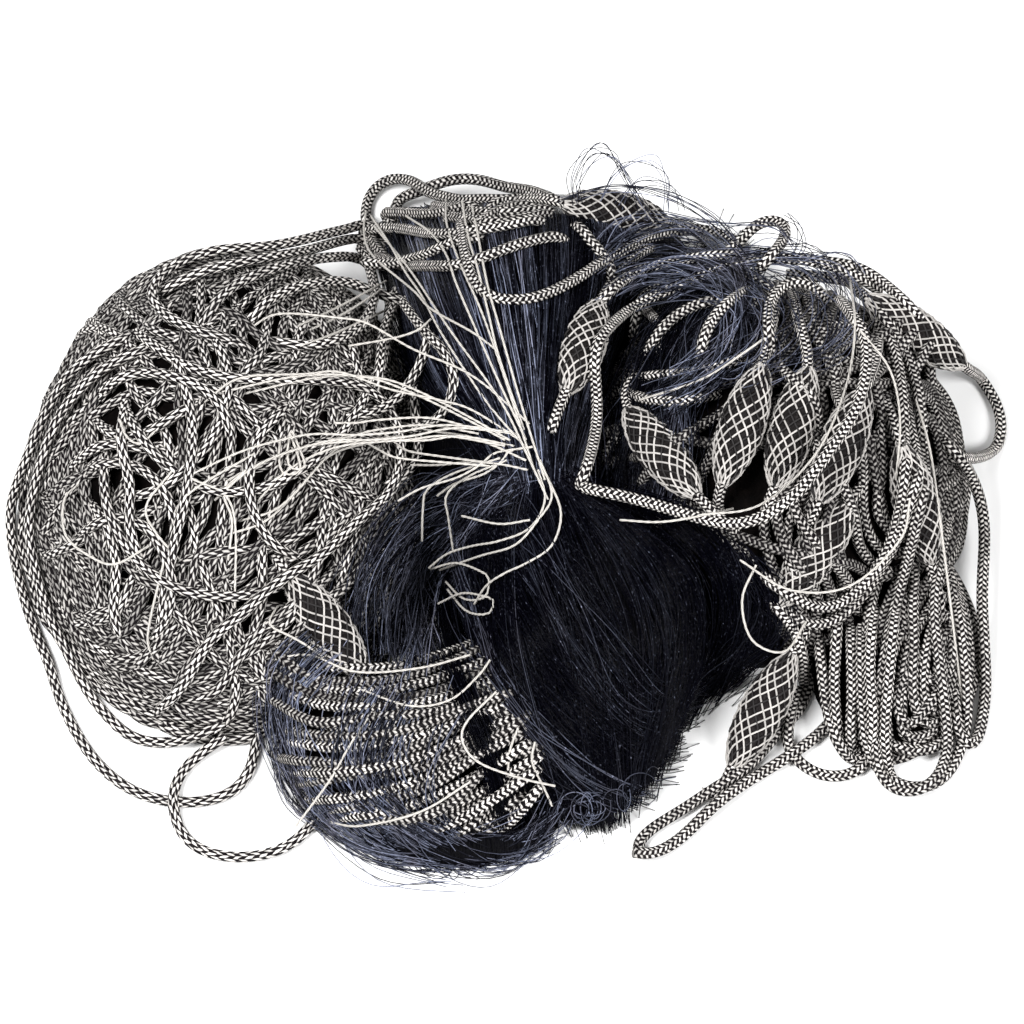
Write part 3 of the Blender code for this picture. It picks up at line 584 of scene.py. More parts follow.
def smooth_curve(points, samples):
    """A Catmull-Rom curve through the points, with this many samples to a span."""
    points = np.asarray(points, dtype=float)
    first = 2.0 * points[:1] - points[1:2]
    last = 2.0 * points[-1:] - points[-2:-1]
    padded = np.concatenate((first, points, last))
    a, b, c, d = padded[:-3, None], padded[1:-2, None], padded[2:-1, None], padded[3:, None]
    share = (np.arange(samples) / samples)[None, :, None]
    even = 2.0 * b + (c - a) * share
    bend = (2.0 * a - 5.0 * b + 4.0 * c - d) * share ** 2
    close = (3.0 * b - a - 3.0 * c + d) * share ** 3
    fine = ((even + bend + close) * 0.5).reshape(-1, points.shape[1])
    return np.concatenate((fine, points[-1:]))


def path_marks(path):
    """How far along a path each of its points lies."""
    lengths = np.linalg.norm(np.diff(path[:, :3], axis=0), axis=1)
    return np.concatenate(((0.0,), np.cumsum(lengths)))


def resampled(path, count):
    """The path with this many evenly spaced points."""
    marks = path_marks(path)
    wanted = np.linspace(0.0, marks[-1], count)
    return np.stack([np.interp(wanted, marks, column) for column in path.T], axis=1)


def spaced(path, step):
    """The same path with even steps of about this length."""
    return resampled(path, max(3, round(path_marks(path)[-1] / step)) + 1)


def eased(points, passes):
    """The path with its small kinks rounded off and its ends kept."""
    points = points.copy()
    for _ in range(passes):
        points[1:-1] = points[:-2] * 0.25 + points[1:-1] * 0.5 + points[2:] * 0.25
    return points


# Winding the lines: every line starts clear of the others and is drawn in until it rests


# A line on its way in: a line that shows moves along its rays, no farther from the eye than
# deepest, and a loose turn has none and is drawn towards its core
Line = namedtuple("Line", "kind points radius rays deepest core pinned closed on_floor",
                  defaults=(False, False))


def round_turn(mound, tilt, heading, offset, wobble, out, rng):
    """A loose turn: a circle round a ball, drawn out to the mound, its low part on the floor."""
    axis = np.array((math.sin(tilt) * math.cos(heading), math.sin(tilt) * math.sin(heading),
                     math.cos(tilt)))
    side = np.cross(axis, (0.3, -0.2, 1.0) if tilt > 0.4 else (1.0, 0.2, 0.1))
    side /= np.linalg.norm(side)
    other = np.cross(axis, side)
    angle = np.linspace(0.0, 2.0 * math.pi, 160)[:, None]
    reach = math.sqrt(1.0 - offset ** 2)
    wave = sum(rng.normal(0.0, wobble / order)
               * np.sin(order * angle + rng.uniform(0.0, FULL_CIRCLE)) for order in (2, 3, 5))
    ring = axis * (offset + wave) + (side * np.cos(angle) + other * np.sin(angle)) * reach
    level = np.maximum(ring[:, 2], 0.02)
    flat = np.linalg.norm(ring[:, :2], axis=1)
    spread = np.sqrt(np.clip(1.0 - level ** 2, 0.0, 1.0)) / flat
    spread = np.where(ring[:, 2] < 0.0, np.maximum(spread, 0.98 / flat), spread)
    x = mound.x + ring[:, 0] * spread * (mound.half_width + out)
    y = mound.y + ring[:, 1] * spread * (mound.half_depth + out)
    z = (mound.height + out) * level ** (2.0 * mound.fullness)
    return np.stack((x, y, z), axis=1)


def sunk_mound(mound, sunk):
    """A mound with its skin drawn in by sunk."""
    return Mound(mound.x, mound.y, mound.half_width - sunk, mound.half_depth - sunk,
                 mound.height - sunk, mound.fullness)


def loose_turns(kind, mound, count, radius, draw, rng):
    """Loose turns round one mound, each one clear outside the last."""
    lines = []
    for number in range(count):
        tilt, heading, offset, wobble = draw(number, rng)
        out = START_CLEARANCE + TURN_SPACING * number
        ring = round_turn(mound, tilt, heading, offset, wobble, out, rng)
        inner = round_turn(mound, tilt, heading, offset, 0.0, 0.0, rng)
        length = np.linalg.norm(np.diff(inner, axis=0), axis=1).sum()
        start = np.linalg.norm(np.diff(ring, axis=0), axis=1).sum()
        points = spaced(ring, POINT_STEP * start / length)[:-1]
        no_rays = np.zeros_like(points)
        pinned = np.zeros(len(points), dtype=bool)
        free = np.full(len(points), FAR)
        lines.append(Line(kind, points, radius, no_rays, free, mound, pinned, closed=True))
    return lines


def bridged(places, level, sag, passes):
    """These heights drawn straight between the spots that carry them, along the sight lines."""
    lowest = level
    for _ in range(passes):
        between = (level[:-2] + level[2:]) / 2.0 - sag
        level = level.copy()
        level[1:-1] = np.maximum(between, lowest[1:-1])
    return sight_points(places, level)


def seen_line(kind, seen, radius, clearance, on_floor):
    """A turn that shows, held on its lines of sight and lifted towards the eye."""
    places = spaced(smooth_curve(seen, 6), POINT_STEP / PIXEL)
    if on_floor:
        points = sight_points(places, radius + FLOOR_GAP)
    else:
        level = laid_points(places, heap_rise, radius, radius * 0.7)[:, 2]
        points = eased(bridged(places, level, LINE_SAG, LINE_BRIDGING), 6)
    both = spaced(np.concatenate((points, places), axis=1), POINT_STEP)
    rays = sight_rays(both[:, 3:])
    deepest = np.linalg.norm(both[:, :3] - EYE, axis=1) + LINE_SINK
    pinned = np.zeros(len(both), dtype=bool)
    lifted = both[:, :3] - rays * clearance
    return Line(kind, lifted, radius, rays, deepest, None, pinned, on_floor=on_floor)


def float_pose(place):
    """The middle of a float and the direction of its length."""
    radius = FLOAT_DIAMETER / 2.0
    tips = laid_points(np.array((place.tip_a, place.tip_b), dtype=float), heap_rise,
                       float_line_radius(), place.lift)
    tips[:, 2] = np.maximum(tips[:, 2], float_line_radius() + SLEEVE_ROOM)
    middle = tips.mean(axis=0)
    middle[2] = max(middle[2], radius + SLEEVE_ROOM)
    direction = tips[1] - tips[0]
    return middle, direction / np.linalg.norm(direction)


def float_line(place, radius):
    """The line that a float is threaded on, running on from both tips."""
    middle, direction = float_pose(place)
    half = direction * FLOAT_LENGTH / 2.0
    before = laid_points(np.array(place.before, dtype=float), heap_rise, radius, radius * 0.7)
    after = laid_points(np.array(place.after, dtype=float), heap_rise, radius, radius * 0.7)
    route = np.concatenate((before, (middle - half, middle + half), after))
    points = spaced(smooth_curve(route, 10), POINT_STEP)
    along = (points - middle) @ direction
    off_axis = np.linalg.norm(points - middle - along[:, None] * direction, axis=1)
    pinned = (np.abs(along) < FLOAT_LENGTH / 2.0) & (off_axis < FLOAT_DIAMETER)
    points[pinned] = middle + along[pinned, None] * direction
    rays = points - EYE
    rays /= np.linalg.norm(rays, axis=1, keepdims=True)
    deepest = np.linalg.norm(points - EYE, axis=1) + LINE_SINK
    return Line("float", points, radius, rays, deepest, None, pinned)


def core_distance(points, core):
    """Distance from a mound's skin, and the way out of it."""
    power = 1.0 / core.fullness
    across = (points[:, 0] - core.x) / core.half_width
    along = (points[:, 1] - core.y) / core.half_depth
    level = np.clip(points[:, 2], 0.0, None) / core.height
    value = across ** 2 + along ** 2 + level ** power
    way = np.stack((2.0 * across / core.half_width, 2.0 * along / core.half_depth,
                    power * level ** (power - 1.0) / core.height), axis=1)
    size = np.linalg.norm(way, axis=1) + TINY
    return (value - 1.0) / size, way / size[:, None]


def pushed_out(points, distance, way, wanted):
    """The points moved out along their way until they are far enough."""
    missing = np.clip(wanted - distance, 0.0, LONGEST_PUSH)
    return points + way * missing[:, None]


def near_pairs(points, reach):
    """All pairs of points that are closer than reach, found by sorting them into cells."""
    cells = np.floor((points - points.min(axis=0)) / reach).astype(np.int64) + 1
    spread = cells.max(axis=0) + 2
    keys = (cells[:, 0] * spread[1] + cells[:, 1]) * spread[2] + cells[:, 2]
    order = np.argsort(keys, kind="stable")
    ordered = keys[order]
    count = len(points)
    pairs = []
    shifts = [(x, y, z) for x in (0, 1) for y in (-1, 0, 1) for z in (-1, 0, 1)
              if (x, y, z) >= (0, 0, 0)]
    for shift in shifts:
        wanted = ordered + (shift[0] * spread[1] + shift[1]) * spread[2] + shift[2]
        low = np.searchsorted(ordered, wanted, "left")
        high = np.searchsorted(ordered, wanted, "right")
        if shift == (0, 0, 0):
            low = np.arange(count) + 1
        found = np.maximum(high - low, 0)
        left = np.repeat(np.arange(count), found)
        steps = np.arange(found.sum()) - np.repeat(np.cumsum(found) - found, found)
        right = np.repeat(low, found) + steps
        pairs.append(np.stack((order[left], order[right])))
    pairs = np.concatenate(pairs, axis=1)
    apart = np.linalg.norm(points[pairs[0]] - points[pairs[1]], axis=1)
    return pairs[:, apart < reach]


def float_reach(along):
    """Radius of a float at each place along its length."""
    share = np.clip(2.0 * along / FLOAT_LENGTH, -1.0, 1.0)
    fat = np.cos(share * math.pi / 2.0).clip(0.0) ** FLOAT_FULLNESS
    reach = float_line_radius()
    return reach + (FLOAT_DIAMETER / 2.0 - reach) * fat


def settle(lines, poses, float_owners):
    """Draws every line in until it rests on the cores, the floor, the floats and the others."""
    sizes = [len(line.points) for line in lines]
    first = np.concatenate(((0,), np.cumsum(sizes)))
    points = np.concatenate([line.points for line in lines])
    rays = np.concatenate([line.rays for line in lines])
    deepest = np.concatenate([line.deepest for line in lines])
    pinned = np.concatenate([line.pinned for line in lines])
    radius = np.repeat([line.radius for line in lines], sizes)
    owner = np.repeat(np.arange(len(lines)), sizes)
    on_floor = np.repeat([line.on_floor for line in lines], sizes)
    index = np.arange(len(points))
    before = index - 1
    after = index + 1
    for line, start, end in zip(lines, first, first[1:]):
        before[start] = end - 1 if line.closed else start
        after[end - 1] = start if line.closed else end - 1
    joined = index[after != index]
    held = np.linalg.norm(rays, axis=1) > 0.5
    cores = [sunk_mound(mound, CORE_SUNK) for mound in MOUNDS[:4]]
    pairs = near_pairs(points, NEAR_REACH)
    for number, pull in enumerate(PULLS):
        move = rays * pull
        for mound, core in zip(MOUNDS[:4], cores):
            own = np.repeat([line.core is mound for line in lines], sizes)
            if own.any():
                way = core_distance(points[own], core)[1]
                move[own] = -way * pull
        bend = (points[before] + points[after]) / 2.0 - points
        bend[(before == index) | (after == index)] = 0.0
        move += STIFFNESS * (bend - (bend[before] + bend[after]) / 2.0) + STRAIGHTENING * bend
        gap = points[after[joined]] - points[joined]
        length = np.linalg.norm(gap, axis=1, keepdims=True) + TINY
        pull_together = gap * (STRETCH_PULL * (length - POINT_STEP) / length)
        move[joined] += pull_together
        move[after[joined]] -= pull_together
        size = np.linalg.norm(move, axis=1, keepdims=True) + TINY
        move *= np.minimum(1.0, LONGEST_MOVE / size)
        move[pinned] = 0.0
        points = points + move
        if number % 2 == 0:
            pairs = near_pairs(points, NEAR_REACH)
            steps = np.abs(pairs[0] - pairs[1])
            same = owner[pairs[0]] == owner[pairs[1]]
            total = np.asarray(sizes)[owner[pairs[0]]]
            near = same & (np.minimum(steps, np.abs(total - steps)) < NEAR_STEPS)
            pairs = pairs[:, ~near]
        for _ in range(2):
            points = parted(points, pairs, radius, pinned)
            points = kept_out(points, lines, sizes, cores, held, on_floor, radius, pinned)
            points = clear_of_floats(points, poses, float_owners, owner, radius, pinned)
        off = points - EYE
        off -= (off * rays).sum(axis=1, keepdims=True) * rays
        off[~held | pinned] = 0.0
        points = points - SIGHT_PULL * off
        sunk = ((points - EYE) * rays).sum(axis=1) - deepest
        sunk[~held | pinned] = 0.0
        points = points - rays * np.clip(sunk, 0.0, LONGEST_PUSH)[:, None]
        points[:, 2] = np.maximum(points[:, 2], radius + FLOOR_GAP)
    return [points[start:end] for start, end in zip(first, first[1:])]


def parted(points, pairs, radius, pinned):
    """Lines that overlap are pushed apart."""
    apart = points[pairs[0]] - points[pairs[1]]
    distance = np.linalg.norm(apart, axis=1) + TINY
    overlap = radius[pairs[0]] + radius[pairs[1]] - distance
    touching = overlap > 0.0
    one, other = pairs[:, touching]
    push = apart[touching] * (0.5 * overlap[touching] / distance[touching])[:, None]
    total = np.zeros_like(points)
    count = len(points)
    for axis in range(3):
        total[:, axis] += np.bincount(one, push[:, axis], count)
        total[:, axis] -= np.bincount(other, push[:, axis], count)
    hits = np.bincount(one, minlength=count) + np.bincount(other, minlength=count)
    total /= np.maximum(1.0, hits * CROWDING)[:, None]
    total[pinned] = 0.0
    return points + total


def kept_out(points, lines, sizes, cores, held, on_floor, radius, pinned):
    """No line sinks into a core or into the hank."""
    free = ~pinned & ~on_floor
    points = points.copy()
    for mound, core in zip(MOUNDS[:4], cores):
        own = np.repeat([line.core is mound or line.core is None for line in lines], sizes) & free
        distance, way = core_distance(points[own], core)
        points[own] = pushed_out(points[own], distance, way, radius[own])
    over = held & free
    x, y = points[over, 0], points[over, 1]
    rise = hank_rise(x, y)
    rise_x, rise_y = slopes(hank_rise, x, y)
    way = np.stack((-rise_x, -rise_y, np.ones_like(rise)), axis=1)
    size = np.linalg.norm(way, axis=1)
    distance = np.where(rise > 0.0, (points[over, 2] - rise) / size, 1.0)
    points[over] = pushed_out(points[over], distance, way / size[:, None], radius[over] * 0.8)
    return points


def clear_of_floats(points, poses, float_owners, owner, radius, pinned):
    """No line runs through a float, but for the line that the float is threaded on."""
    for (middle, direction), own in zip(poses, float_owners):
        near = np.linalg.norm(points - middle, axis=1) < FLOAT_LENGTH * 0.7
        near &= (owner != own) & ~pinned
        if not near.any():
            continue
        along = np.clip((points[near] - middle) @ direction, -FLOAT_LENGTH / 2.0,
                        FLOAT_LENGTH / 2.0)
        way = points[near] - middle - along[:, None] * direction
        size = np.linalg.norm(way, axis=1) + TINY
        points[near] = pushed_out(points[near], size, way / size[:, None],
                                  float_reach(along) + radius[near])
    return points


def dived(points, rays):
    """The line with both ends led into the heap: away from the eye, or inward at the back."""
    points = points.copy()
    for side in (slice(None), slice(None, None, -1)):
        run = points[side]
        way = rays[side]
        if run[0][1] > BACK_OF_VIEW:
            inward = np.array((hank_row(run[0][1])[0], *INSIDE_THE_BACK)) - run[0]
            way = np.tile(inward / np.linalg.norm(inward), (len(run), 1))
        for step in range(min(DIVE_POINTS, len(run) // 3)):
            share = 1.0 - step / DIVE_POINTS
            run[step] += way[step] * DIVE_DEPTH * share ** 2
    return points


def relaxed(line, path):
    """The settled path with its small waves taken out."""
    if line.closed:
        wrapped = np.concatenate((path[-20:], path, path[:20]))
        return eased(wrapped, 14)[20:-20]
    smooth = eased(path, 5)
    smooth[line.pinned] = path[line.pinned]
    return smooth


def float_line_radius():
    """Radius of the float line, as the panel sets it."""
    return bpy.context.scene.net_lines.float_diameter / 2.0


def wound_lines():
    """All lines at rest, as a list of kind and path."""
    sizes = bpy.context.scene.net_lines
    lead = sizes.lead_diameter / 2.0
    buoyed = sizes.float_diameter / 2.0
    rng = np.random.default_rng(SEED)

    def any_way(number, rng):
        tilt = rng.uniform(*TILT_LIMITS)
        return tilt, rng.uniform(0.0, FULL_CIRCLE), rng.uniform(-0.15, 0.72), 0.10

    def down_the_side(number, rng):
        return rng.uniform(0.9, 1.35), rng.uniform(-0.7, 0.5), rng.uniform(0.50, 0.95), 0.05

    def down_the_back(number, rng):
        if number in ARCHING_TURNS:
            return any_way(number, rng)
        if number % 2 == 0:
            return down_the_side(number, rng)
        return rng.uniform(0.9, 1.3), rng.uniform(1.2, 2.7), rng.uniform(0.45, 0.92), 0.05

    lines = loose_turns("lead", LEAD_MOUND, sizes.lead_turns, lead, any_way, rng)
    lines += loose_turns("float", FLOAT_MOUND, sizes.float_turns, buoyed, down_the_back, rng)
    lines += loose_turns("float", FLOAT_TAIL_MOUND, TAIL_TURNS, buoyed, down_the_side, rng)
    between = [[((a[0] + b[0]) / 2.0 + rng.normal(0.0, BETWEEN_WANDER),
                 (a[1] + b[1]) / 2.0 + rng.normal(0.0, BETWEEN_WANDER))
                for a, b in zip(one, other)] for one, other in zip(WRAP_TURNS, WRAP_TURNS[1:])]
    groups = (("lead", LEAD_TURNS, lead, LEAD_FLOOR_TURNS),
              ("float", FLOAT_TURNS, buoyed, FLOAT_FLOOR_TURNS),
              ("wrap", between, lead, 0), ("wrap", WRAP_TURNS, lead, 0))
    for kind, turns, radius, floor_turns in groups:
        for number, seen in enumerate(turns):
            clearance = SEEN_CLEARANCE + SEEN_SPACING * number
            lines.append(seen_line(kind, seen, radius, clearance, number < floor_turns))
    all_floats = FLOATS + HIDDEN_FLOATS
    float_owners = list(range(len(lines), len(lines) + len(all_floats)))
    lines += [float_line(place, buoyed) for place in all_floats]
    poses = [float_pose(place) for place in all_floats]
    paths = settle(lines, poses, float_owners)
    wound = []
    for line, path in zip(lines, paths):
        path = relaxed(line, path)
        if line.closed:
            path = np.concatenate((path, path[:1]))
        elif not line.on_floor:
            path = dived(path, line.rays)
        path[:, 2] = np.maximum(path[:, 2], line.radius + FLOOR_GAP)
        wound.append((line.kind, spaced(smooth_curve(path, 3), MESH_STEP)))
    return wound


# The top of everything so far, as a map of heights that later pieces are laid on


def empty_map():
    """The map of heights with nothing but the hank of netting on it."""
    x, y = np.meshgrid(np.arange(MAP_LOW[0], MAP_HIGH[0], MAP_CELL),
                       np.arange(MAP_LOW[1], MAP_HIGH[1], MAP_CELL), indexing="ij")
    return hank_rise(x, y)


def raised_map(top, paths, radii):
    """The map with round lines of these radii added."""
    for path, radius in zip(paths, radii):
        fine = spaced(path, MAP_CELL)
        reach = int(math.ceil(radius / MAP_CELL))
        for across in range(-reach, reach + 1):
            for along in range(-reach, reach + 1):
                cell_x = np.round((fine[:, 0] - MAP_LOW[0]) / MAP_CELL).astype(int) + across
                cell_y = np.round((fine[:, 1] - MAP_LOW[1]) / MAP_CELL).astype(int) + along
                off_x = MAP_LOW[0] + cell_x * MAP_CELL - fine[:, 0]
                off_y = MAP_LOW[1] + cell_y * MAP_CELL - fine[:, 1]
                room = radius ** 2 - off_x ** 2 - off_y ** 2
                inside = room > 0.0
                height = fine[inside, 2] + np.sqrt(room[inside])
                np.maximum.at(top, (cell_x[inside], cell_y[inside]), height)
    return top


def strands_on_map(top, paths, radius):
    """The map raised to thin strands, and to the space of a cell round them."""
    fine = np.concatenate([spaced(path, MAP_CELL) for path in paths])
    for across, along in ((0, 0), (1, 0), (0, 1), (1, 1)):
        cell_x = ((fine[:, 0] - MAP_LOW[0]) / MAP_CELL).astype(int) + across
        cell_y = ((fine[:, 1] - MAP_LOW[1]) / MAP_CELL).astype(int) + along
        np.maximum.at(top, (cell_x, cell_y), fine[:, 2] + radius)


def map_surface(top):
    """A function that reads the map between its cells."""
    def surface(x, y):
        across = np.clip((x - MAP_LOW[0]) / MAP_CELL, 0.0, top.shape[0] - 1.001)
        along = np.clip((y - MAP_LOW[1]) / MAP_CELL, 0.0, top.shape[1] - 1.001)
        cell_x = across.astype(int)
        cell_y = along.astype(int)
        part_x = across - cell_x
        part_y = along - cell_y
        low = top[cell_x, cell_y] * (1.0 - part_x) + top[cell_x + 1, cell_y] * part_x
        high = top[cell_x, cell_y + 1] * (1.0 - part_x) + top[cell_x + 1, cell_y + 1] * part_x
        return low * (1.0 - part_y) + high * part_y
    return surface


# Meshes


def new_piece(name, mesh, material):
    """A finished piece that rides on the net."""
    mesh.name = name
    piece = bpy.data.objects.new(name, mesh)
    bpy.context.scene.collection.objects.link(piece)
    if not mesh.materials:
        mesh.materials.append(material)
    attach(piece, "root")
    return piece


def evaluated_mesh(source):
    """The plain mesh that an object's modifiers give; the source is removed."""
    bpy.context.view_layer.update()
    depsgraph = bpy.context.evaluated_depsgraph_get()
    mesh = bpy.data.meshes.new_from_object(source.evaluated_get(depsgraph))
    bpy.data.objects.remove(source, do_unlink=True)
    return mesh


def node_tree(name, inputs):
    """A Geometry Nodes tree with a mesh in, a mesh out and these named inputs."""
    tree = bpy.data.node_groups.new(name, "GeometryNodeTree")
    tree.interface.new_socket("Geometry", in_out="INPUT", socket_type="NodeSocketGeometry")
    for label, kind in inputs:
        tree.interface.new_socket(label, in_out="INPUT", socket_type=kind)
    tree.interface.new_socket("Geometry", in_out="OUTPUT", socket_type="NodeSocketGeometry")
    return tree, tree.nodes.new("NodeGroupInput"), tree.nodes.new("NodeGroupOutput")


def feed(tree, target, value):
    """Link a socket, or set its value."""
    if isinstance(value, bpy.types.NodeSocket):
        tree.links.new(value, target)
    else:
        target.default_value = value


def calc(tree, operation, *values):
    """One maths node."""
    node = tree.nodes.new("ShaderNodeMath")
    node.operation = operation
    for place, value in enumerate(values):
        feed(tree, node.inputs[place], value)
    return node.outputs[0]


def wire(tree, *links):
    """Link nodes, each link given as a node, its output, the next node and its input."""
    for source, output, target, entry in links:
        tree.links.new(source.outputs[output], target.inputs[entry])


def sweep_tree():
    """Sweeps a round line along each path and gives it a UV map: round it, and metres along."""
    tree, start, end = node_tree("sweep_line", (("Radius", "NodeSocketFloat"),
                                                ("Sides", "NodeSocketInt"),
                                                ("Material", "NodeSocketMaterial")))
    new = tree.nodes.new
    rail = new("GeometryNodeMeshToCurve")
    rail_place = new("GeometryNodeSplineParameter")
    rail_length = new("GeometryNodeCaptureAttribute")
    rail_length.capture_items.new("FLOAT", "Along")
    ring = new("GeometryNodeCurvePrimitiveCircle")
    ring_place = new("GeometryNodeSplineParameter")
    ring_share = new("GeometryNodeCaptureAttribute")
    ring_share.capture_items.new("FLOAT", "Around")
    skin = new("GeometryNodeCurveToMesh")
    skin.inputs["Fill Caps"].default_value = True
    face = new("GeometryNodeFieldOnDomain")
    face.data_type = "FLOAT"
    face.domain = "FACE"
    both = new("ShaderNodeCombineXYZ")
    store = new("GeometryNodeStoreNamedAttribute")
    store.data_type = "FLOAT2"
    store.domain = "CORNER"
    store.inputs["Name"].default_value = "UVMap"
    smooth = new("GeometryNodeSetShadeSmooth")
    real = new("GeometryNodeRealizeInstances")
    paint = new("GeometryNodeSetMaterial")
    wire(tree,
         (start, "Geometry", rail, "Mesh"),
         (rail, "Curve", rail_length, "Geometry"),
         (rail_place, "Length", rail_length, "Along"),
         (start, "Radius", ring, "Radius"),
         (start, "Sides", ring, "Resolution"),
         (ring, "Curve", ring_share, "Geometry"),
         (ring_place, "Factor", ring_share, "Around"),
         (rail_length, "Geometry", skin, "Curve"),
         (ring_share, "Geometry", skin, "Profile Curve"),
         (ring_share, "Around", face, 0),
         (rail_length, "Along", both, "Y"),
         (skin, "Mesh", store, "Geometry"),
         (both, "Vector", store, "Value"),
         (store, "Geometry", smooth, "Geometry"),
         (smooth, "Geometry", real, "Geometry"),
         (real, "Geometry", paint, "Geometry"),
         (start, "Material", paint, "Material"),
         (paint, "Geometry", end, "Geometry"))
    around = ring_share.outputs["Around"]
    at_start = calc(tree, "LESS_THAN", around, 0.001)
    far_side = calc(tree, "GREATER_THAN", face.outputs[0], 0.34)
    closing = calc(tree, "MULTIPLY", at_start, far_side)
    tree.links.new(calc(tree, "ADD", around, closing), both.inputs["X"])
    return tree


def knot_tree():
    """Puts a small knot on each point."""
    tree, start, end = node_tree("tie_knots", (("Radius", "NodeSocketFloat"),
                                               ("Material", "NodeSocketMaterial")))
    knot = tree.nodes.new("GeometryNodeMeshIcoSphere")
    place = tree.nodes.new("GeometryNodeInstanceOnPoints")
    real = tree.nodes.new("GeometryNodeRealizeInstances")
    paint = tree.nodes.new("GeometryNodeSetMaterial")
    wire(tree,
         (start, "Radius", knot, "Radius"),
         (start, "Geometry", place, "Points"),
         (knot, "Mesh", place, "Instance"),
         (place, "Instances", real, "Geometry"),
         (real, "Geometry", paint, "Geometry"),
         (start, "Material", paint, "Material"),
         (paint, "Geometry", end, "Geometry"))
    return tree


def with_tree(name, mesh, tree, values):
    """The mesh that a tree makes from a mesh, with its inputs set by their identifiers."""
    source = bpy.data.objects.new(name + "_paths", mesh)
    bpy.context.scene.collection.objects.link(source)
    modifier = source.modifiers.new(tree.name, "NODES")
    modifier.node_group = tree
    for item in tree.interface.items_tree:
        if item.in_out == "INPUT" and item.name in values:
            modifier[item.identifier] = values[item.name]
    return evaluated_mesh(source)


def path_mesh(name, paths, shades):
    """The paths as loose edges, each with its own shade."""
    sizes = [len(path) for path in paths]
    firsts = np.concatenate(((0,), np.cumsum(sizes)))
    edges = np.concatenate([np.stack((np.arange(a, b - 1), np.arange(a + 1, b)), axis=1)
                            for a, b in zip(firsts, firsts[1:])])
    mesh = bpy.data.meshes.new(name)
    mesh.vertices.add(int(firsts[-1]))
    mesh.vertices.foreach_set("co", np.concatenate(paths).astype(np.float32).ravel())
    mesh.edges.add(len(edges))
    mesh.edges.foreach_set("vertices", edges.astype(np.int32).ravel())
    shade = mesh.attributes.new("shade", "FLOAT", "POINT")
    shade.data.foreach_set("value", np.repeat(shades, sizes).astype(np.float32))
    mesh.update()
    return mesh


def swept(name, paths, shades, radius, sides, material):
    """A piece of round lines along the paths."""
    tree = bpy.data.node_groups.get("sweep_line") or sweep_tree()
    values = {"Radius": radius, "Sides": sides, "Material": material}
    mesh = with_tree(name, path_mesh(name, paths, shades), tree, values)
    return new_piece(name, mesh, material)


def knots(name, points, radius, material):
    """A piece of small knots."""
    tree = bpy.data.node_groups.get("tie_knots") or knot_tree()
    mesh = bpy.data.meshes.new(name)
    mesh.from_pydata([tuple(point) for point in points], [], [])
    mesh = with_tree(name, mesh, tree, {"Radius": radius, "Material": material})
    return new_piece(name, mesh, material)


def loft(name, loops, material):
    """A closed smooth body through loops of points."""
    work = bmesh.new()
    rows = [[work.verts.new(point) for point in loop] for loop in loops]
    for low, high in zip(rows, rows[1:]):
        for place in range(len(low)):
            after = (place + 1) % len(low)
            work.faces.new((low[place], low[after], high[after], high[place]))
    work.faces.new(rows[0])
    work.faces.new(rows[-1])
    bmesh.ops.recalc_face_normals(work, faces=work.faces)
    mesh = bpy.data.meshes.new(name)
    work.to_mesh(mesh)
    work.free()
    mesh.shade_smooth()
    return new_piece(name, mesh, material)


def mound_loops(mound, sunk, rings=22, segments=48):
    """Level rings of a mound, from the floor to its top."""
    angle = np.linspace(0.0, 2.0 * math.pi, segments, endpoint=False)
    loops = []
    for ring in range(rings):
        level = math.sin(ring / rings * math.pi / 2.0)
        flat = math.sqrt(1.0 - level ** 2)
        x = mound.x + np.cos(angle) * flat * (mound.half_width - sunk)
        y = mound.y + np.sin(angle) * flat * (mound.half_depth - sunk)
        z = max(FLOOR_GAP, (mound.height - sunk) * level ** (2.0 * mound.fullness))
        loops.append([(a, b, z) for a, b in zip(x, y)])
    return loops


# Materials


def new_material(name):
    """A material with its node tree and its shader."""
    material = bpy.data.materials.new(name)
    material.use_nodes = True
    tree = material.node_tree
    return material, tree, tree.nodes["Principled BSDF"]


def mixed(tree, share, one, other):
    """A colour between two others."""
    node = tree.nodes.new("ShaderNodeMix")
    node.data_type = "RGBA"
    feed(tree, node.inputs["Factor"], share)
    sockets = [socket for socket in node.inputs if socket.type == "RGBA"]
    feed(tree, sockets[0], one)
    feed(tree, sockets[1], other)
    return next(socket for socket in node.outputs if socket.type == "RGBA")


def noise(tree, scale, detail, stretch=None):
    """Noise on object coordinates, drawn out along an axis where stretch says."""
    place = tree.nodes.new("ShaderNodeTexCoord").outputs["Object"]
    if stretch:
        mapping = tree.nodes.new("ShaderNodeMapping")
        mapping.inputs["Scale"].default_value = stretch
        tree.links.new(place, mapping.inputs["Vector"])
        place = mapping.outputs["Vector"]
    node = tree.nodes.new("ShaderNodeTexNoise")
    node.inputs["Scale"].default_value = scale
    node.inputs["Detail"].default_value = detail
    tree.links.new(place, node.inputs["Vector"])
    return node.outputs["Fac"]


def add_bump(tree, shader, height, distance, strength=1.0):
    """Raises the surface where the height is great."""
    bump = tree.nodes.new("ShaderNodeBump")
    bump.inputs["Distance"].default_value = distance
    bump.inputs["Strength"].default_value = strength
    tree.links.new(height, bump.inputs["Height"])
    tree.links.new(bump.outputs["Normal"], shader.inputs["Normal"])


def uv_parts(tree):
    """The UV map of a swept line: round it, and metres along it."""
    uv = tree.nodes.new("ShaderNodeUVMap")
    uv.uv_map = "UVMap"
    parts = tree.nodes.new("ShaderNodeSeparateXYZ")
    tree.links.new(uv.outputs["UV"], parts.inputs["Vector"])
    return parts.outputs["X"], parts.outputs["Y"]


def own_shade(tree):
    """The shade that each line or strand has of its own: for the lines it carries their painted
    depth shade, for the netting strands a painted highlight on the left of the fall, over a tone
    of their own.
    """
    shade = tree.nodes.new("ShaderNodeAttribute")
    shade.attribute_name = "shade"
    return shade.outputs["Fac"]


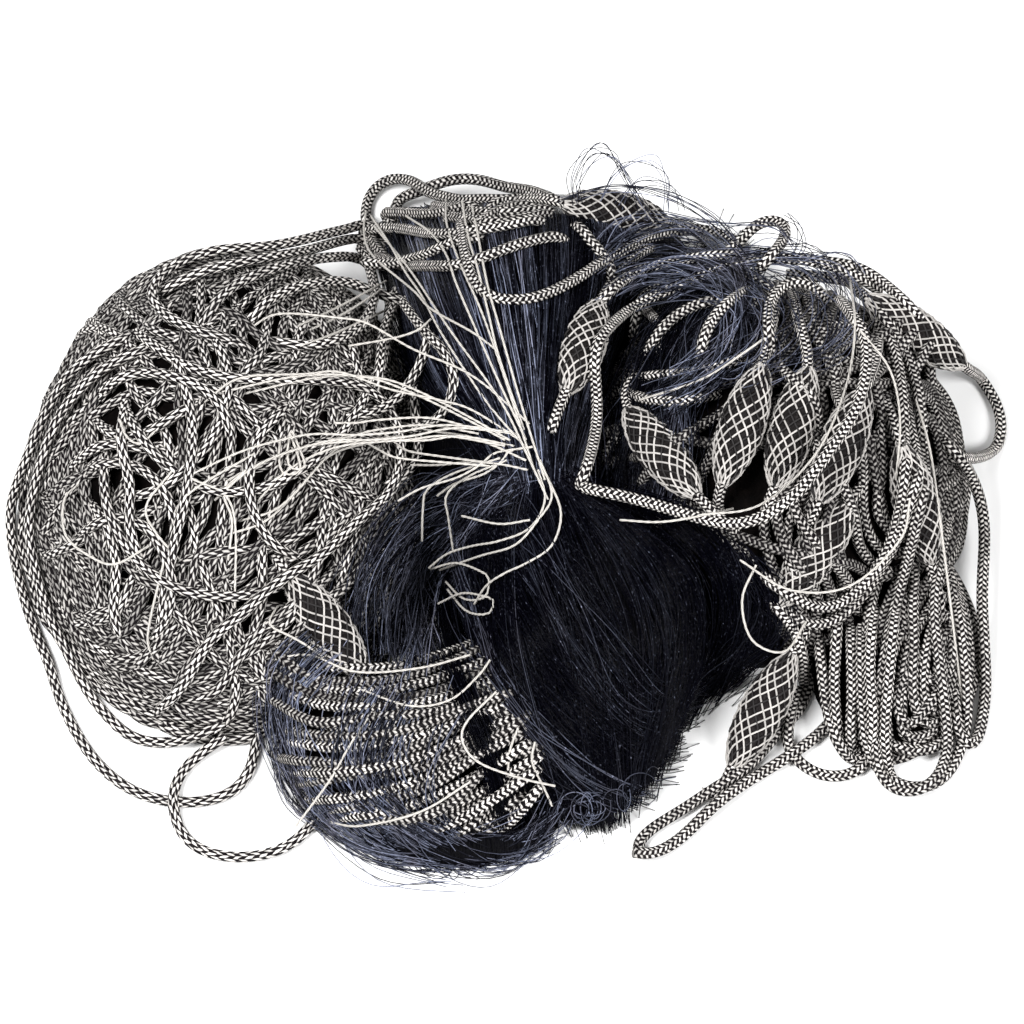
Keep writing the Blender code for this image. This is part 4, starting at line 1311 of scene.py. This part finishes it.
def braid(name, columns, pitch, lean, stagger, light, dark):
    """A braided line: rows of slanting stitches round it, light and dark in turn, with painted
    shade: darker for lines deep in the heap and towards the gaps between stitches.
    """
    material, tree, shader = new_material(name)
    around, length = uv_parts(tree)
    shade = own_shade(tree)
    place = calc(tree, "MULTIPLY", around, columns)
    column = calc(tree, "FLOOR", place)
    across = calc(tree, "FRACT", place)
    odd = calc(tree, "FLOORED_MODULO", column, 2.0)
    side = calc(tree, "MULTIPLY_ADD", odd, -2.0, 1.0)
    leaning = calc(tree, "MULTIPLY", calc(tree, "SUBTRACT", across, 0.5), lean)
    leaning = calc(tree, "MULTIPLY", leaning, side)
    along = calc(tree, "DIVIDE", length, pitch)
    along = calc(tree, "ADD", along, leaning)
    along = calc(tree, "MULTIPLY_ADD", shade, SHADE_SHIFT, along)
    along = calc(tree, "MULTIPLY_ADD", odd, stagger, along)
    uneven = calc(tree, "SUBTRACT", noise(tree, BRAID_GRAIN, 1.0), 0.5)
    along = calc(tree, "MULTIPLY_ADD", uneven, BRAID_UNEVEN, along)
    stitch = calc(tree, "FLOOR", along)
    within = calc(tree, "FRACT", along)
    round_along = calc(tree, "SINE", calc(tree, "MULTIPLY", within, math.pi))
    round_across = calc(tree, "SINE", calc(tree, "MULTIPLY", across, math.pi))
    bead_and_gap_shade = calc(tree, "POWER", calc(tree, "MULTIPLY", round_along, round_across), 0.38)
    is_dark = calc(tree, "FLOORED_MODULO", stitch, 2.0)
    which = tree.nodes.new("ShaderNodeCombineXYZ")
    tree.links.new(column, which.inputs["X"])
    tree.links.new(stitch, which.inputs["Y"])
    tree.links.new(calc(tree, "MULTIPLY", shade, SHADE_CHANCE), which.inputs["Z"])
    chance = tree.nodes.new("ShaderNodeTexWhiteNoise")
    tree.links.new(which.outputs["Vector"], chance.inputs["Vector"])
    own = calc(tree, "MULTIPLY_ADD", chance.outputs["Value"], 0.55, 0.55)
    # Painted shade: lines wound deep in the heap are darker, over each line's random tone.
    painted_depth_light = calc(tree, "MULTIPLY_ADD", shade, 0.34, 0.88)
    bright = calc(tree, "MULTIPLY", own, painted_depth_light)
    dim = calc(tree, "MULTIPLY", chance.outputs["Value"], 0.012)
    switch = calc(tree, "SUBTRACT", 1.0, is_dark)
    lit = calc(tree, "MULTIPLY_ADD", calc(tree, "SUBTRACT", bright, dim), switch, dim)
    # Painted shade: the colour darkens towards the gaps between stitches, where the bead falls
    # away.
    lit = calc(tree, "MULTIPLY", lit, bead_and_gap_shade)
    colour = mixed(tree, lit, (*dark, 1.0), (*light, 1.0))
    tree.links.new(colour, shader.inputs["Base Color"])
    shader.inputs["Roughness"].default_value = 0.75
    shader.inputs["Specular IOR Level"].default_value = 0.05
    add_bump(tree, shader, bead_and_gap_shade, 0.0006)
    return material


def shaded(name, dark, light, roughness, fibre_scale, specular, painted_glints):
    """A finish whose colour follows each strand's own shade, with short pale painted glints:
    painted highlights, strongest on the lightest strands.
    """
    material, tree, shader = new_material(name)
    grain = calc(tree, "MULTIPLY_ADD", noise(tree, fibre_scale, 2.0), 0.5, 0.72)
    share = calc(tree, "MULTIPLY", own_shade(tree), grain)
    if painted_glints:
        # Painted highlights: short pale glints blended into the colour, stronger on lighter
        # strands.
        spot = calc(tree, "POWER", noise(tree, 700.0, 0.0), 12.0)
        lit = calc(tree, "MULTIPLY", calc(tree, "ADD", share, 0.03), painted_glints)
        share = calc(tree, "MULTIPLY_ADD", calc(tree, "MULTIPLY", spot, 4.0), lit, share)
        warm = (light[0] * 1.15, light[1] * 0.88, light[2] * 0.72, 1.0)
        tint = calc(tree, "POWER", noise(tree, 40.0, 2.0, (3.0, 0.5, 0.5)), 2.0)
        colour = mixed(tree, tint, (*light, 1.0), warm)
    else:
        colour = (*light, 1.0)
    tree.links.new(mixed(tree, share, (*dark, 1.0), colour), shader.inputs["Base Color"])
    shader.inputs["Roughness"].default_value = roughness
    shader.inputs["Specular IOR Level"].default_value = specular
    add_bump(tree, shader, noise(tree, fibre_scale * 2.0, 1.0), 0.0002, 0.6)
    return material


def twisted(name, colour, lays, pitch):
    """Twine: strands laid round each other, with painted shade in the grooves between them."""
    material, tree, shader = new_material(name)
    around, length = uv_parts(tree)
    turn = calc(tree, "DIVIDE", length, pitch)
    turn = calc(tree, "MULTIPLY_ADD", around, lays, turn)
    ridge = calc(tree, "SINE", calc(tree, "MULTIPLY", calc(tree, "FRACT", turn), math.pi))
    # Painted shade: the colour darkens towards the grooves between the strands.
    shade = calc(tree, "MULTIPLY_ADD", ridge, 0.35, 0.65)
    shade = calc(tree, "MULTIPLY", shade,
                 calc(tree, "MULTIPLY_ADD", noise(tree, 120.0, 2.0), 0.5, 0.75))
    low = tuple(part * 0.18 for part in colour)
    tree.links.new(mixed(tree, shade, (*low, 1.0), (*colour, 1.0)), shader.inputs["Base Color"])
    shader.inputs["Roughness"].default_value = 0.7
    add_bump(tree, shader, ridge, 0.0004)
    return material


def matted(name, low, high, stretch, roughness):
    """A streaked dark finish: the mass of strands that lies under those that are modelled; it
    also serves the float foam, the knots with their painted glints, and the heap cores as painted
    shadow.
    """
    material, tree, shader = new_material(name)
    streaks = noise(tree, 1.0, 4.0, stretch)
    share = calc(tree, "POWER", streaks, 3.0)
    tree.links.new(mixed(tree, share, (*low, 1.0), (*high, 1.0)), shader.inputs["Base Color"])
    shader.inputs["Roughness"].default_value = roughness
    shader.inputs["Specular IOR Level"].default_value = 0.04
    add_bump(tree, shader, streaks, 0.002)
    return material


# Operators, one for each group of pieces


def painted_depth_shades(count, rng):
    """A shade for each line: painted shade, darker for the lines that were wound first and lie
    deep in the heap, with a random tone of each line's own on top.
    """
    depth = -1.7 + 2.8 * np.linspace(0.0, 1.0, count) ** 0.6
    return np.clip(depth + rng.normal(0.0, 0.3, count), -1.7, 1.1)


class NET_OT_lines(bpy.types.Operator):
    """Wind the lead line, the float line and the wrapped turns, and fill the heaps under them"""
    bl_idname = "net.lines"
    bl_label = "Lines"

    def execute(self, context):
        sizes = context.scene.net_lines
        light, dark = tuple(sizes.light), tuple(sizes.dark)
        lead_braid = braid("lead_line_braid", 10, 0.0029, 0.8, 1.0, light, dark)
        float_braid = braid("float_line_braid", 8, 0.00135, 0.8, 1.0, light, dark)
        wrap_braid = braid("wrap_line_braid", 8, 0.00135, 0.6, 0.3, light, dark)
        # Painted shadow: the near-black heap cores stand in for the shade deep inside the heaps.
        painted_heap_shadow = matted("heap_shadow", (0.0008, 0.0006, 0.0006), (0.008, 0.005, 0.004),
                           (300.0, 300.0, 300.0), 0.8)
        wound = wound_lines()
        rng = np.random.default_rng(SEED)
        kinds = {
            "lead": ("lead_line_coil", lead_braid, sizes.lead_diameter, "lead_line",
                     "lead_line_heap"),
            "wrap": ("lead_line_turns", wrap_braid, sizes.lead_diameter, "lead_line",
                     "lead_line_wrap"),
            "float": ("float_line_coil", float_braid, sizes.float_diameter, "float_line",
                      "float_line_heap"),
        }
        for kind, (name, material, diameter, slot_name, node) in kinds.items():
            paths = [path for own, path in wound if own == kind]
            # Painted shade: the lines wound first, deep in the heap, are given darker shades.
            shades = painted_depth_shades(len(paths), rng)
            piece = swept(name, paths, shades, diameter / 2.0, sizes.sides, material)
            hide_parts(node)
        mounds = (("lead_heap_core", LEAD_MOUND, "lead_line"),
                  ("float_heap_core", FLOAT_MOUND, "float_line"),
                  ("float_tail_core", FLOAT_TAIL_MOUND, "float_line"),
                  ("wrap_core", WRAP_MOUND, "lead_line"))
        for name, mound, slot_name in mounds:
            loft(name, mound_loops(mound, CORE_SUNK), painted_heap_shadow)
        radii = {"lead": sizes.lead_diameter / 2.0, "wrap": sizes.lead_diameter / 2.0,
                 "float": sizes.float_diameter / 2.0}
        top = raised_map(empty_map(), [path for _, path in wound],
                         [radii[kind] for kind, _ in wound])
        LAID["top"] = top
        return {"FINISHED"}


class NET_OT_floats(bpy.types.Operator):
    """Make the floats with their braided sleeves"""
    bl_idname = "net.floats"
    bl_label = "Floats"

    def execute(self, context):
        sizes = context.scene.net_floats
        lines = context.scene.net_lines
        body_finish = matted("float_foam", tuple(sizes.body), (0.05, 0.045, 0.045),
                             (500.0, 500.0, 500.0), 0.55)
        sleeve_finish = shaded("sleeve_yarn", tuple(lines.dark), tuple(lines.light), 0.6, 1500.0,
                               0.15, 0.0)
        names = ["float_" + str(number + 1) for number in range(len(FLOATS))]
        names += ["hidden_float_" + str(number + 1) for number in range(len(HIDDEN_FLOATS))]
        for number, (name, place) in enumerate(zip(names, FLOATS + HIDDEN_FLOATS)):
            middle, direction = float_pose(place)
            body = loft(name + "_body", spindle_loops(middle, direction, 0.0009), body_finish)
            paths, shades = sleeve_paths(middle, direction, sizes, number)
            swept(name + "_sleeve", paths, shades, sizes.strand_diameter / 2.0, 5, sleeve_finish)
            if number < len(FLOATS):
                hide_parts(name)
            ends = middle + direction * np.array((-0.5, 0.5))[:, None] * FLOAT_LENGTH
            fine = spaced(ends, 0.001)
            reach = float_reach((fine - middle) @ direction)
            for spot, radius in zip(fine, reach):
                pair = np.stack((spot, spot + direction * 0.0005))
                raised_map(LAID["top"], [pair], [radius])
        return {"FINISHED"}


def float_axes(direction):
    """Two directions across a float, square to its length."""
    side = np.cross(direction, (0.0, 0.0, 1.0))
    side /= np.linalg.norm(side)
    return side, np.cross(side, direction)


def spindle_loops(middle, direction, drawn_in, stations=20, segments=24):
    """Rings of a float, from tip to tip."""
    side, other = float_axes(direction)
    angle = np.linspace(0.0, 2.0 * math.pi, segments, endpoint=False)[:, None]
    ring = side * np.cos(angle) + other * np.sin(angle)
    loops = []
    for along in np.linspace(-0.5, 0.5, stations) * FLOAT_LENGTH:
        reach = float_reach(np.array(along)) - drawn_in
        loops.append([tuple(spot) for spot in middle + direction * along + ring * reach])
    return loops


def sleeve_paths(middle, direction, sizes, number):
    """The strands of a sleeve: two sets that wind opposite ways and pass over and under."""
    side, other = float_axes(direction)
    along = np.linspace(-0.5, 0.5, SLEEVE_POINTS) * (FLOAT_LENGTH + 0.002)
    reach = float_reach(along) - sizes.strand_diameter * 0.35
    paths = []
    shades = []
    for way in (-1.0, 1.0):
        for strand in range(sizes.strands):
            start = 2.0 * math.pi * (strand + 0.5 * (way > 0.0)) / sizes.strands + number
            turned = start + way * SLEEVE_TURNS * 2.0 * math.pi * (along / FLOAT_LENGTH + 0.5)
            weave = 0.3 * sizes.strand_diameter * way * np.cos(turned * sizes.strands)
            around = side * np.cos(turned)[:, None] + other * np.sin(turned)[:, None]
            paths.append(middle + direction * along[:, None] + around * (reach + weave)[:, None])
            shades.append(0.42 + 0.14 * (strand % 2) if (strand + (way > 0.0)) % 4 else 0.02)
    return paths, shades


class NET_OT_netting(bpy.types.Operator):
    """Comb the netting: its body, its strands, its knots and its loose loops"""
    bl_idname = "net.netting"
    bl_label = "Netting"

    def execute(self, context):
        sizes = context.scene.net_strands
        rng = np.random.default_rng(SEED + 1)
        dark, pale = tuple(sizes.colour), tuple(sizes.sheen)
        body_finish = matted("netting_mass", tuple(part * 0.3 for part in dark),
                             tuple(part * 2.0 for part in dark), (900.0, 60.0, 60.0), 0.5)
        # The netting strands carry painted glints at a strength of 7.
        strand_finish = shaded("netting_strand", dark, pale, 0.25, 300.0, 0.05, 7.0)
        radius = sizes.diameter / 2.0
        body = loft("netting_body", hank_loops(0.002), body_finish)
        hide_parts("net_hank")
        loft("netting_skirt", mound_loops(SKIRT_BED, 0.0), body_finish)
        column = combed(Comb(COLUMN_GUIDES, sizes.column, 22, 5.0, 0.0010), rng)
        column = [over_the_back(path) for path in column]
        fall = combed(Comb(FALL_GUIDES, sizes.fall, 28, 7.0, 0.0022), rng)
        fall += combed(SIDE_COMB, rng)
        sweep = combed(SWEEP_COMB, rng)
        loose = combed(PATCH_COMB, rng)
        loose += combed(COVER_COMB, rng)
        groups = (("netting_column", column, 0.9), ("netting_fall", fall, 0.07),
                  ("netting_sweep", sweep, 0.28), ("netting_loose", loose, 0.6))
        for name, paths, brightness in groups:
            # Painted highlight: strands on the left side of the fall get twice the shade.
            left = np.array([path[:, 0].mean() < PAINTED_HIGHLIGHT_EDGE for path in paths])
            shades = brightness * (1.0 + left) * lock_shades(paths, rng)
            swept(name, paths, shades, radius, 3, strand_finish)
            strands_on_map(LAID["top"], paths, radius)
        surface = map_surface(LAID["top"])
        veil = combed(VEIL_COMB, rng, surface)
        veil += combed(SKIRT_COMB, rng, surface)
        veil += edge_rings(rng, surface)
        veil += standing_loops(rng, surface)
        shades = 0.8 * rng.uniform(0.0, 1.0, len(veil)) ** 2.2
        swept("netting_veil", veil, shades, radius, 3, strand_finish)
        spots = np.concatenate(column + fall)
        spots = spots[rng.choice(len(spots), KNOT_COUNT, replace=False)]
        # Painted glints: the knots are blended from dark towards a pale blue-grey, standing in
        # for the light they catch.
        knot_finish = matted("netting_knot", dark, (0.35, 0.38, 0.5), (700.0, 700.0, 700.0), 0.2)
        knots("netting_knots", spots, KNOT_RADIUS, knot_finish)
        return {"FINISHED"}


def lock_shades(paths, rng):
    """A shade for each strand: those that lie together in a lock are light or dark together."""
    across = np.array([path[:, 0].mean() for path in paths])
    locks = np.linspace(MAP_LOW[0], MAP_HIGH[0], LOCK_COUNT)
    lock = np.interp(across, locks, rng.uniform(0.0, 1.0, len(locks)))
    return lock ** 2 * rng.uniform(0.0, 1.0, len(paths)) ** 2.5


def hank_loops(sunk, segments=40):
    """Arches of the hank, from its rounded front to its back, each closed along the floor."""
    loops = []
    power = 2.0 / HANK_ROUNDNESS
    front, back = HANK_SECTIONS[0].y + 3.0 * sunk, HANK_SECTIONS[-1].y - sunk
    for place, y in enumerate(np.linspace(front, back, HANK_ARCHES)):
        drawn_in = sunk + HANK_NOSE * max(0.0, 1.0 - place / NOSE_ARCHES) ** 2
        middle, half, top = hank_row(y)
        loop = []
        for step in range(segments + 1):
            angle = math.pi * step / segments
            across = math.copysign(abs(math.cos(angle)) ** power, math.cos(angle))
            rise = max(0.0, math.sin(angle)) ** power
            loop.append((middle + (half - drawn_in) * across, y,
                         max(FLOOR_GAP, (top - drawn_in) * rise)))
        loops.append(loop)
    return loops


def combed(comb, rng, surface=heap_rise):
    """Strands combed between guides, in locks, and laid on a surface."""
    guides, count, points, stray, lift = comb
    combs = np.stack([resampled(smooth_curve(guide, 6), points) for guide in guides])
    spans = len(guides) - 1
    locks = rng.uniform(0.0, spans, max(6, count // LOCK_STRANDS))
    share = locks[rng.integers(0, len(locks), count)] + rng.normal(0.0, 0.07, count)
    drift = rng.normal(0.0, 0.16, count)[:, None] * np.linspace(-1.0, 1.0, points)
    share = np.clip(share[:, None] + drift, 0.0, spans - 1e-6)
    low = share.astype(int)
    part = (share - low)[..., None]
    step = np.arange(points)[None, :]
    places = combs[low, step] * (1.0 - part) + combs[low + 1, step] * part
    travel = np.linspace(0.0, 1.0, points)
    for order in (1.0, 2.3, 4.1):
        phase = rng.uniform(0.0, FULL_CIRCLE, (count, 1, 2))
        size = rng.normal(0.0, stray / order, (count, 1, 2))
        places = places + size * np.sin(order * 3.14 * travel[None, :, None] + phase)
    raised = np.abs(rng.normal(0.0, lift, count))[:, None]
    laid = laid_points(places.reshape(-1, 2), surface, STRAND_RADIUS, 0.0005)
    laid = laid.reshape(count, points, 3)
    laid = eased(laid.swapaxes(0, 1), 3).swapaxes(0, 1)
    laid[..., 2] += raised * np.sin(travel * math.pi)[None, :] ** 0.5
    laid[..., 2] = np.maximum(laid[..., 2], STRAND_RADIUS)
    return list(laid)


def over_the_back(path):
    """The strand with its upper end led on over the back of the hank, down to the floor."""
    start = path[0]
    shares = 1.0 - 0.9 * np.linspace(0.0, 1.0, BACK_POINTS) ** 2
    y = start[1] + (HANK_SECTIONS[-1].y - start[1]) * shares
    x = start[0] + (HANK_SECTIONS[-1].x - start[0]) * shares * 0.25
    z = np.maximum(hank_rise(x, y) + RAISED_STRAND, RAISED_STRAND)
    return np.concatenate((np.stack((x, y, z), axis=1), path))


def edge_rings(rng, surface):
    """Small loops of strand that curl out along the skirt and the hank's front edge."""
    rings = []
    angle = np.linspace(0.0, 5.6, 22)[:, None]
    for number in range(EDGE_RINGS):
        share = rng.uniform(0.0, 1.0)
        middle = np.array((300.0 + 255.0 * share, 800.0 + 62.0 * math.sin(share * 2.6)))
        if number % 3 == 0:
            middle = np.array((555.0 + 105.0 * share, 812.0 - 34.0 * share ** 2))
        size = rng.uniform(6.0, 20.0, 2)
        turn = rng.uniform(0.0, FULL_CIRCLE)
        places = middle + np.concatenate((np.cos(angle + turn), np.sin(angle + turn)),
                                         axis=1) * size
        rings.append(eased(laid_points(places, surface, STRAND_RADIUS, 0.0004), 2))
    return rings


def standing_loops(rng, surface):
    """Loops of strand that stand up over the top edge between their two ends."""
    loops = []
    heights = np.arange(SEARCH_TOP, 0.001, -SEARCH_STEP)
    for seen in TOP_LOOPS:
        for _ in range(LOOPS_EACH):
            wander = rng.normal(0.0, LOOP_WANDER, (len(seen), 2))
            places = smooth_curve(np.array(seen) + wander, 5)
            ends = laid_points(places[[0, -1]], surface, STRAND_RADIUS, 0.0004)
            depth = np.linspace(ends[0, 1], ends[1, 1], len(places))[:, None]
            tried = sight_points(places[:, None, :], heights[None, :])
            pick = np.abs(tried[..., 1] - depth).argmin(axis=1)
            loops.append(eased(tried[np.arange(len(places)), pick], 2))
    return loops


class NET_OT_twine(bpy.types.Operator):
    """Lay the hanging twine over the lines and the neck of the netting"""
    bl_idname = "net.twine"
    bl_label = "Twine"

    def execute(self, context):
        sizes = context.scene.net_twine
        finish = twisted("twine_lay", tuple(sizes.colour), 3.0, 0.004)
        radius = sizes.diameter / 2.0
        surface = map_surface(LAID["top"])
        paths = []
        rng = np.random.default_rng(SEED + 2)
        loose = []
        for seen in TWINES[DOUBLED_TWINES]:
            fading = np.linspace(1.8, 0.4, len(seen))[:, None]
            loose.append(np.array(seen) + rng.normal(0.0, TWINE_WANDER, 2) * fading)
        for seen in list(TWINES) + loose:
            places = spaced(smooth_curve(seen, 6), TWINE_STEP / PIXEL)
            paths.append(taut(places, surface, radius))
        piece = swept("twine_lines", paths, np.ones(len(paths)), radius, 6, finish)
        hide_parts("hanging_twine")
        return {"FINISHED"}


def taut(places, surface, radius):
    """A path over these places of the view, straight between the spots that it rests on."""
    lowest = laid_points(places, surface, radius, radius)[:, 2]
    level = bridged(places, lowest, TWINE_SAG, TAUT_PASSES)[:, 2]
    level[1:-1] = np.maximum(eased(level[:, None], 6)[1:-1, 0], lowest[1:-1] - radius)
    return sight_points(places, level)


class NET_OT_stage(bpy.types.Operator):
    """Make the floor, the soft lights and the camera"""
    bl_idname = "net.stage"
    bl_label = "Stage"

    def execute(self, context):
        sizes = context.scene.net_stage
        bpy.ops.mesh.primitive_plane_add(size=12.0, location=(0.0, 0.0, 0.0))
        floor = context.object
        floor.name = "floor"
        material, _, shader = new_material("pale_floor")
        shader.inputs["Base Color"].default_value = (*sizes.floor, 1.0)
        shader.inputs["Roughness"].default_value = 0.9
        floor.data.materials.append(material)
        world = bpy.data.worlds.new("soft_light")
        world.use_nodes = True
        world.node_tree.nodes["Background"].inputs["Color"].default_value = (1.0, 1.0, 1.0, 1.0)
        world.node_tree.nodes["Background"].inputs["Strength"].default_value = 0.34
        context.scene.world = world
        add_light("main_light", (-0.9, -0.5, 1.7), 0.9, sizes.key_power)
        add_light("second_light", (1.2, -0.9, 1.3), 0.7, sizes.fill_power)
        camera_data = bpy.data.cameras.new("camera")
        camera_data.sensor_width = SENSOR_WIDTH
        camera_data.lens = SENSOR_WIDTH * VIEW_DISTANCE / (PIXEL * 2.0 * PICTURE_MIDDLE)
        camera = bpy.data.objects.new("camera", camera_data)
        context.scene.collection.objects.link(camera)
        camera.location = EYE
        aim_at_heap(camera)
        context.scene.camera = camera
        context.scene.view_settings.view_transform = "Standard"
        return {"FINISHED"}


def add_light(name, place, size, power):
    """A round soft light that shines at the heap."""
    light = bpy.data.lights.new(name, "AREA")
    light.shape = "DISK"
    light.size = size
    light.energy = power
    lamp = bpy.data.objects.new(name, light)
    bpy.context.scene.collection.objects.link(lamp)
    lamp.location = place
    aim_at_heap(lamp)


def aim_at_heap(piece):
    """Turn a lamp or camera towards the middle of the heap."""
    aim = Vector((0.0, 0.0, VIEW_CENTRE_HEIGHT)) - piece.location
    piece.rotation_euler = aim.to_track_quat("-Z", "Y").to_euler()


class NET_PT_panel(bpy.types.Panel):
    """Sizes and colours of the fishing net"""
    bl_idname = "NET_PT_panel"
    bl_label = "Fishing Net"
    bl_space_type = "VIEW_3D"
    bl_region_type = "UI"
    bl_category = "Fishing Net"

    def draw(self, context):
        for group_name, operator, _ in GROUPS:
            box = self.layout.box()
            group = getattr(context.scene, group_name)
            for name in group.bl_rna.properties.keys():
                if name not in ("rna_type", "name"):
                    box.prop(group, name)
            box.operator(operator.bl_idname)


GROUPS = (
    ("net_stage", NET_OT_stage, NetStageProperties),
    ("net_lines", NET_OT_lines, NetLineProperties),
    ("net_floats", NET_OT_floats, NetFloatProperties),
    ("net_strands", NET_OT_netting, NetStrandProperties),
    ("net_twine", NET_OT_twine, NetTwineProperties),
)


def register():
    """Adds the properties, the operators and the panel."""
    for name, operator, properties in GROUPS:
        bpy.utils.register_class(properties)
        bpy.utils.register_class(operator)
        setattr(bpy.types.Scene, name, PointerProperty(type=properties))
    bpy.utils.register_class(NET_PT_panel)


def unregister():
    """Takes them away again."""
    bpy.utils.unregister_class(NET_PT_panel)
    for name, operator, properties in reversed(GROUPS):
        delattr(bpy.types.Scene, name)
        bpy.utils.unregister_class(operator)
        bpy.utils.unregister_class(properties)


def main():
    """Builds the scene."""
    register()
    bpy.ops.net.stage()
    bpy.ops.net.lines()
    bpy.ops.net.floats()
    bpy.ops.net.netting()
    bpy.ops.net.twine()


if __name__ == "__main__":
    main()
